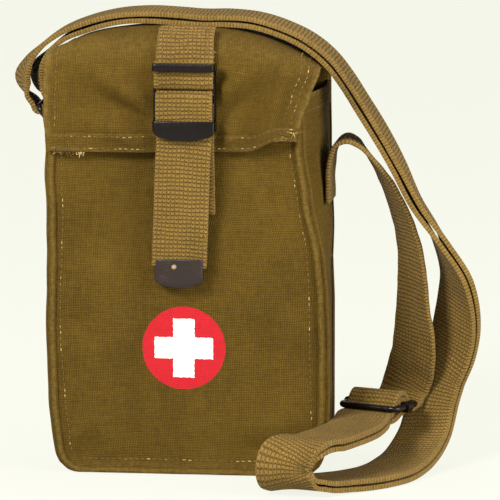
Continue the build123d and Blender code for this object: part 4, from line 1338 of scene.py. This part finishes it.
# %% Packs, rolls and the nodes that stay
def pack(name, node, made, flute, seed):
    """A soft packet crowned on every face, with a wrinkled wrapper and a folded end seam."""
    low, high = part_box(node)
    low, high = Vector(low), Vector(high)
    middle, half = (low + high) / 2, (high - low) / 2
    bm = bmesh.new()
    bmesh.ops.create_cube(bm, size=2.0)
    bmesh.ops.subdivide_edges(bm, edges=bm.edges[:], cuts=23, use_grid_fill=True)
    for vert in bm.verts:
        p = vert.co.copy()
        power = 5.0
        reach = (abs(p.x) ** power + abs(p.y) ** power + abs(p.z) ** power) ** (1 / power)
        p = p * (max(abs(p.x), abs(p.y), abs(p.z)) / reach)
        pinch = 1.0 - 0.16 * abs(p.x) ** 6
        wrinkle = 1.0 + flute * noise.noise(Vector((p.x * 3.0, p.y * 2.2, p.z * 1.7 + seed)))
        wrinkle += flute * 0.5 * noise.noise(Vector((p.x * 9.0, p.y * 3.0, p.z * 3.0 + seed)))
        vert.co = middle + Vector((p.x * half.x * 0.985, p.y * half.y * 0.96 * min(1.0, wrinkle),
                                   p.z * half.z * 0.96 * pinch * min(1.02, wrinkle)))
    piece = new_object(name, bm, made)
    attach(piece, "bag")
    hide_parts(node)
    return piece


def roller(name, node):
    """A roller bandage on end: wound layers show as rings on its top."""
    low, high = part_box(node)
    low, high = Vector(low), Vector(high)
    middle = (low + high) / 2
    radius, tall = (high.x - low.x) / 2, high.z - low.z
    bm = bmesh.new()
    profile = [(0.0, 0.0, 0.0)]
    rings = 9
    for k in range(rings):
        r0, r1 = radius * (0.1 + 0.9 * k / rings), radius * (0.1 + 0.9 * (k + 0.75) / rings)
        top = tall / 2 - 0.0006 * chance.random()
        profile += [(r0, 0, top - 0.0016), ((r0 + r1) / 2, 0, top), (r1, 0, top - 0.0004)]
    profile[0] = (0.0, 0.0, tall / 2 - 0.003)
    profile += [(radius, 0, tall / 2 - 0.002), (radius, 0, 0), (radius, 0, -tall / 2 + 0.001),
                (radius * 0.95, 0, -tall / 2), (0.0, 0, -tall / 2)]
    verts = [bmesh.ops.create_vert(bm, co=p)["vert"][0] for p in profile]
    edges = [bm.edges.new((a, b)) for a, b in zip(verts, verts[1:])]
    bmesh.ops.spin(bm, geom=verts + edges, cent=(0, 0, 0), axis=(0, 0, 1), angle=math.tau, steps=56)
    bmesh.ops.remove_doubles(bm, verts=bm.verts[:], dist=1e-6)
    bmesh.ops.recalc_face_normals(bm, faces=bm.faces[:])
    for vert in bm.verts:
        sway = 1.0 + 0.012 * noise.noise(vert.co * 60.0)
        vert.co.x *= sway * 0.985
        vert.co.y *= sway * 0.985
    bmesh.ops.translate(bm, verts=bm.verts[:], vec=middle)
    piece = new_object(name, bm, gauze_white)
    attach(piece, "bag")
    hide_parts(node)
    return piece


pack("wound_dressing_packet", "wound_dressing", wrap_cream, 0.05, 1.0)
pack("gauze_pack_packet", "gauze_pack", gauze_white, 0.05, 4.0)
pack("triangular_bandage_packet", "triangular_bandage", wrap_cream, 0.06, 7.0)
roller("roller_bandage_left_wound", "roller_bandage_left")
roller("roller_bandage_right_wound", "roller_bandage_right")
for node, made in (("dressing_box", card_buff), ("tape_roll", tape_white), ("tape_spool", spool_grey),
                   ("antiseptic_bottle", bottle_brown), ("bottle_cap", cap_white),
                   ("scissor_half_fixed", bright_steel), ("scissor_half_moving", bright_steel),
                   ("scissor_screw", bright_steel), ("tweezers", bright_steel)):
    repaint(node, made)

# %% [markdown]
# ## Stitching
#
# Rows of stitches follow the cloth: beside both front seams, along the flap's sides and hem, round
# the patch in a box with a cross and along the mouth's hem.

# %% Stitch rows
def along(place, points, lift, count=60):
    """A line of (point, face) on a surface place(u, v), through a list of shares."""
    made = []
    for (u0, v0), (u1, v1) in zip(points, points[1:]):
        for k in range(count):
            t = k / count
            u, v = mix(u0, u1, t), mix(v0, v1, t)
            here = Vector(place(u, v))
            du = Vector(place(min(1, u + 0.004), v)) - Vector(place(max(0, u - 0.004), v))
            dv = Vector(place(u, min(1, v + 0.004))) - Vector(place(u, max(0, v - 0.004)))
            face = du.cross(dv).normalized()
            made.append((here, face))
    return [(here + face * lift, face) for here, face in made]


def outward(line, way):
    """The same line with its faces turned to the side that a direction points to."""
    way = Vector(way)
    fixed = []
    for here, face in line:
        fixed.append((here, face if face.dot(way) > 0 else -face))
    return fixed


def raised(line, way, lift):
    return [(here + face * lift, face) for here, face in outward(line, way)]


SEAM_ALLOWANCE = 7.0
front_rows = []
left = [(SEAM_ALLOWANCE / 150.0 + 0.006 * math.sin(k * 0.7), mix(0.93, 0.05, k / 12)) for k in range(13)]
right = [(1 - SEAM_ALLOWANCE / 140.0 + 0.006 * math.sin(k * 0.6), mix(0.93, 0.05, k / 12))
         for k in range(13)]
for line in (left, right):
    front_rows.append(raised(along(front_point, line, 0.0, 12), (0, -1, 0), CANVAS / 2 + 0.1))
low = [(0.08, 0.035), (0.92, 0.035)]
front_rows.append(raised(along(front_point, low, 0.0), (0, -1, 0), CANVAS / 2 + 0.1))
sewn = stitches("front_stitching", front_rows, thread_olive)
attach(sewn, "bag")

flap_rows = []
for u0, u1 in ((0.045, 0.04), (0.955, 0.96), (0.925, 0.93)):
    points = [(mix(u0, u1, k / 10), mix(0.2, 0.925, k / 10)) for k in range(11)]
    flap_rows.append(raised(along(flap_point, points, 0.0, 14), (0, -1, 0.8), CANVAS / 2 + 0.1))
for v in (0.16, 0.8):
    for start, end in ((0.02, 0.4), (0.6, 0.98)):
        flap_rows.append(raised(along(flap_hem_point, [(start, v), (end, v)], 0.0), (0, -1, 0), 0.6))
sewn = stitches("flap_stitching", flap_rows, thread_olive)
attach(sewn, "flap")


def patch_point(u, v):
    """A place on the top of the patch, u across and v down it."""
    point, wide, _ = patch_route.at(v)
    return point + wide * (u - 0.5) * WEB_WIDTH


patch_route = Route(patch_layer(0.75 + 1.3 + 2.5)[1:])
a, b, c, d = (0.1, 0.1), (0.9, 0.1), (0.9, 0.86), (0.1, 0.86)
box_rows = [raised(along(patch_point, ends, 0, 12), (0, -1, 1), WEB_THICK / 2 + 0.15)
            for ends in ((a, b), (b, c), (c, d), (d, a), (a, c), (b, d))]
sewn = stitches("patch_stitching", box_rows, thread_web, pitch=2.7, length=2.5, thick=0.6)
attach(sewn, "flap")

hem_rows = [raised(along(hem_point, [(0.02, 0.2), (0.22, 0.2)], 0, 20), (-1, 0, 0), 0.7),
            raised(along(hem_point, [(0.78, 0.2), (0.98, 0.2)], 0, 20), (1, 0, 0), 0.7)]
sewn = stitches("mouth_stitching", hem_rows, thread_olive)
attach(sewn, "bag")

# %% [markdown]
# ## Frayed ends
#
# Where a cut end of web or canvas is left raw, loose threads curl out of it. Each is a short curve
# with a little thickness.

# %% Frays
def frays(name, ends, made):
    """Loose threads. An end is (point, direction, length) in millimetres."""
    curve = bpy.data.curves.new(name, "CURVE")
    curve.dimensions = "3D"
    curve.bevel_depth = 0.16 * MM
    curve.bevel_resolution = 1
    for point, way, length in ends:
        spline = curve.splines.new("NURBS")
        spline.points.add(3)
        here = Vector(point)
        way = Vector(way).normalized()
        for knot in spline.points:
            knot.co = (*(here * MM), 1.0)
            bend = Vector((chance.uniform(-1, 1), chance.uniform(-0.5, 0.5), chance.uniform(-1, 1)))
            way = (way + bend * 0.45).normalized()
            here = here + way * length / 3
        spline.order_u = 3
        spline.use_endpoint_u = True
    thing = bpy.data.objects.new(name, curve)
    scene.collection.objects.link(thing)
    curve.materials.append(made)
    return thing


fray_ends = []
for _ in range(22):
    x, y, z = flap_hem_point(chance.uniform(0.03, 0.15), 1.0)
    fray_ends.append(((x, y, z - 0.3), (chance.uniform(-1, 1), -0.2, -1), chance.uniform(1.2, 3.2)))
for _ in range(16):
    x, y, z = flap_hem_point(chance.uniform(0.9, 0.995), chance.uniform(0.2, 1.0))
    fray_ends.append(((x, y - 0.3, z), (1, -0.3, chance.uniform(-1, 0.4)), chance.uniform(1.5, 5.0)))
for _ in range(8):
    x = chance.uniform(14.6, 15.4)
    fray_ends.append(((x, BAR_Y + chance.uniform(-1, 1), chance.uniform(238, 244)), (1, -0.2, -0.3),
                      chance.uniform(1.2, 3.2)))
fray = frays("flap_frays", fray_ends, thread_olive)
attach(fray, "flap")

# %% [markdown]
# ## Floor, light and camera
#
# The floor is a wide flat plane. It is dark in itself and glows in pale cream, so that it stays even
# and takes only faint shadows. The main light stands high on the left, in front, a larger one fills
# from the right, a weak one hangs above, and the pale surround does the rest. The camera stands four
# metres away with a long lens, which keeps upright edges nearly parallel.

# %% The stage
def paint(name, colour, rough=0.9):
    made = bpy.data.materials.new(name)
    made.use_nodes = True
    shader = made.node_tree.nodes["Principled BSDF"]
    shader.inputs["Base Color"].default_value = colour
    shader.inputs["Roughness"].default_value = rough
    return made


bm = bmesh.new()
bmesh.ops.create_grid(bm, x_segments=2, y_segments=2, size=6.0)
cream = paint("floor_cream", (0.07, 0.07, 0.065, 1.0))
shine = cream.node_tree.nodes["Principled BSDF"]
shine.inputs["Specular IOR Level"].default_value = 0.0
shine.inputs["Emission Color"].default_value = srgb(251, 252, 240)
shine.inputs["Emission Strength"].default_value = 0.89
floor = new_object("floor", bm, cream, False)

world = bpy.data.worlds.new("studio")
world.use_nodes = True
world.node_tree.nodes["Background"].inputs["Color"].default_value = srgb(252, 251, 243)
world.node_tree.nodes["Background"].inputs["Strength"].default_value = 0.68
scene.world = world


def area_light(name, place, target, size, power, colour=(1.0, 1.0, 1.0)):
    lamp = bpy.data.lights.new(name, "AREA")
    lamp.size = size
    lamp.energy = power
    lamp.color = colour
    thing = bpy.data.objects.new(name, lamp)
    thing.location = place
    thing.rotation_euler = (Vector(target) - Vector(place)).to_track_quat("-Z", "Y").to_euler()
    scene.collection.objects.link(thing)


TARGET = Vector((0.0352, -0.038, 0.1288))
area_light("key", (-0.62, -1.05, 1.0), TARGET, 0.45, 31.0, (1.0, 0.985, 0.95))
area_light("fill", (1.25, -0.65, 0.5), TARGET, 0.9, 26.0, (1.0, 0.99, 0.97))
area_light("top", (0.1, 0.3, 1.4), TARGET, 0.6, 2.0)

CAMERA_AZIMUTH = math.radians(6.9)
CAMERA_HEIGHT = math.radians(9.0)
CAMERA_FAR = 4.0
lens = bpy.data.cameras.new("camera")
lens.lens = 514.0
lens.sensor_width = 36.0
lens.clip_start = 0.01
camera = bpy.data.objects.new("camera", lens)
way = Vector((math.sin(CAMERA_AZIMUTH) * math.cos(CAMERA_HEIGHT),
              -math.cos(CAMERA_AZIMUTH) * math.cos(CAMERA_HEIGHT), math.sin(CAMERA_HEIGHT)))
camera.location = TARGET + way * CAMERA_FAR
camera.rotation_euler = way.to_track_quat("Z", "Y").to_euler()
scene.collection.objects.link(camera)
scene.camera = camera
scene.view_settings.view_transform = "Standard"
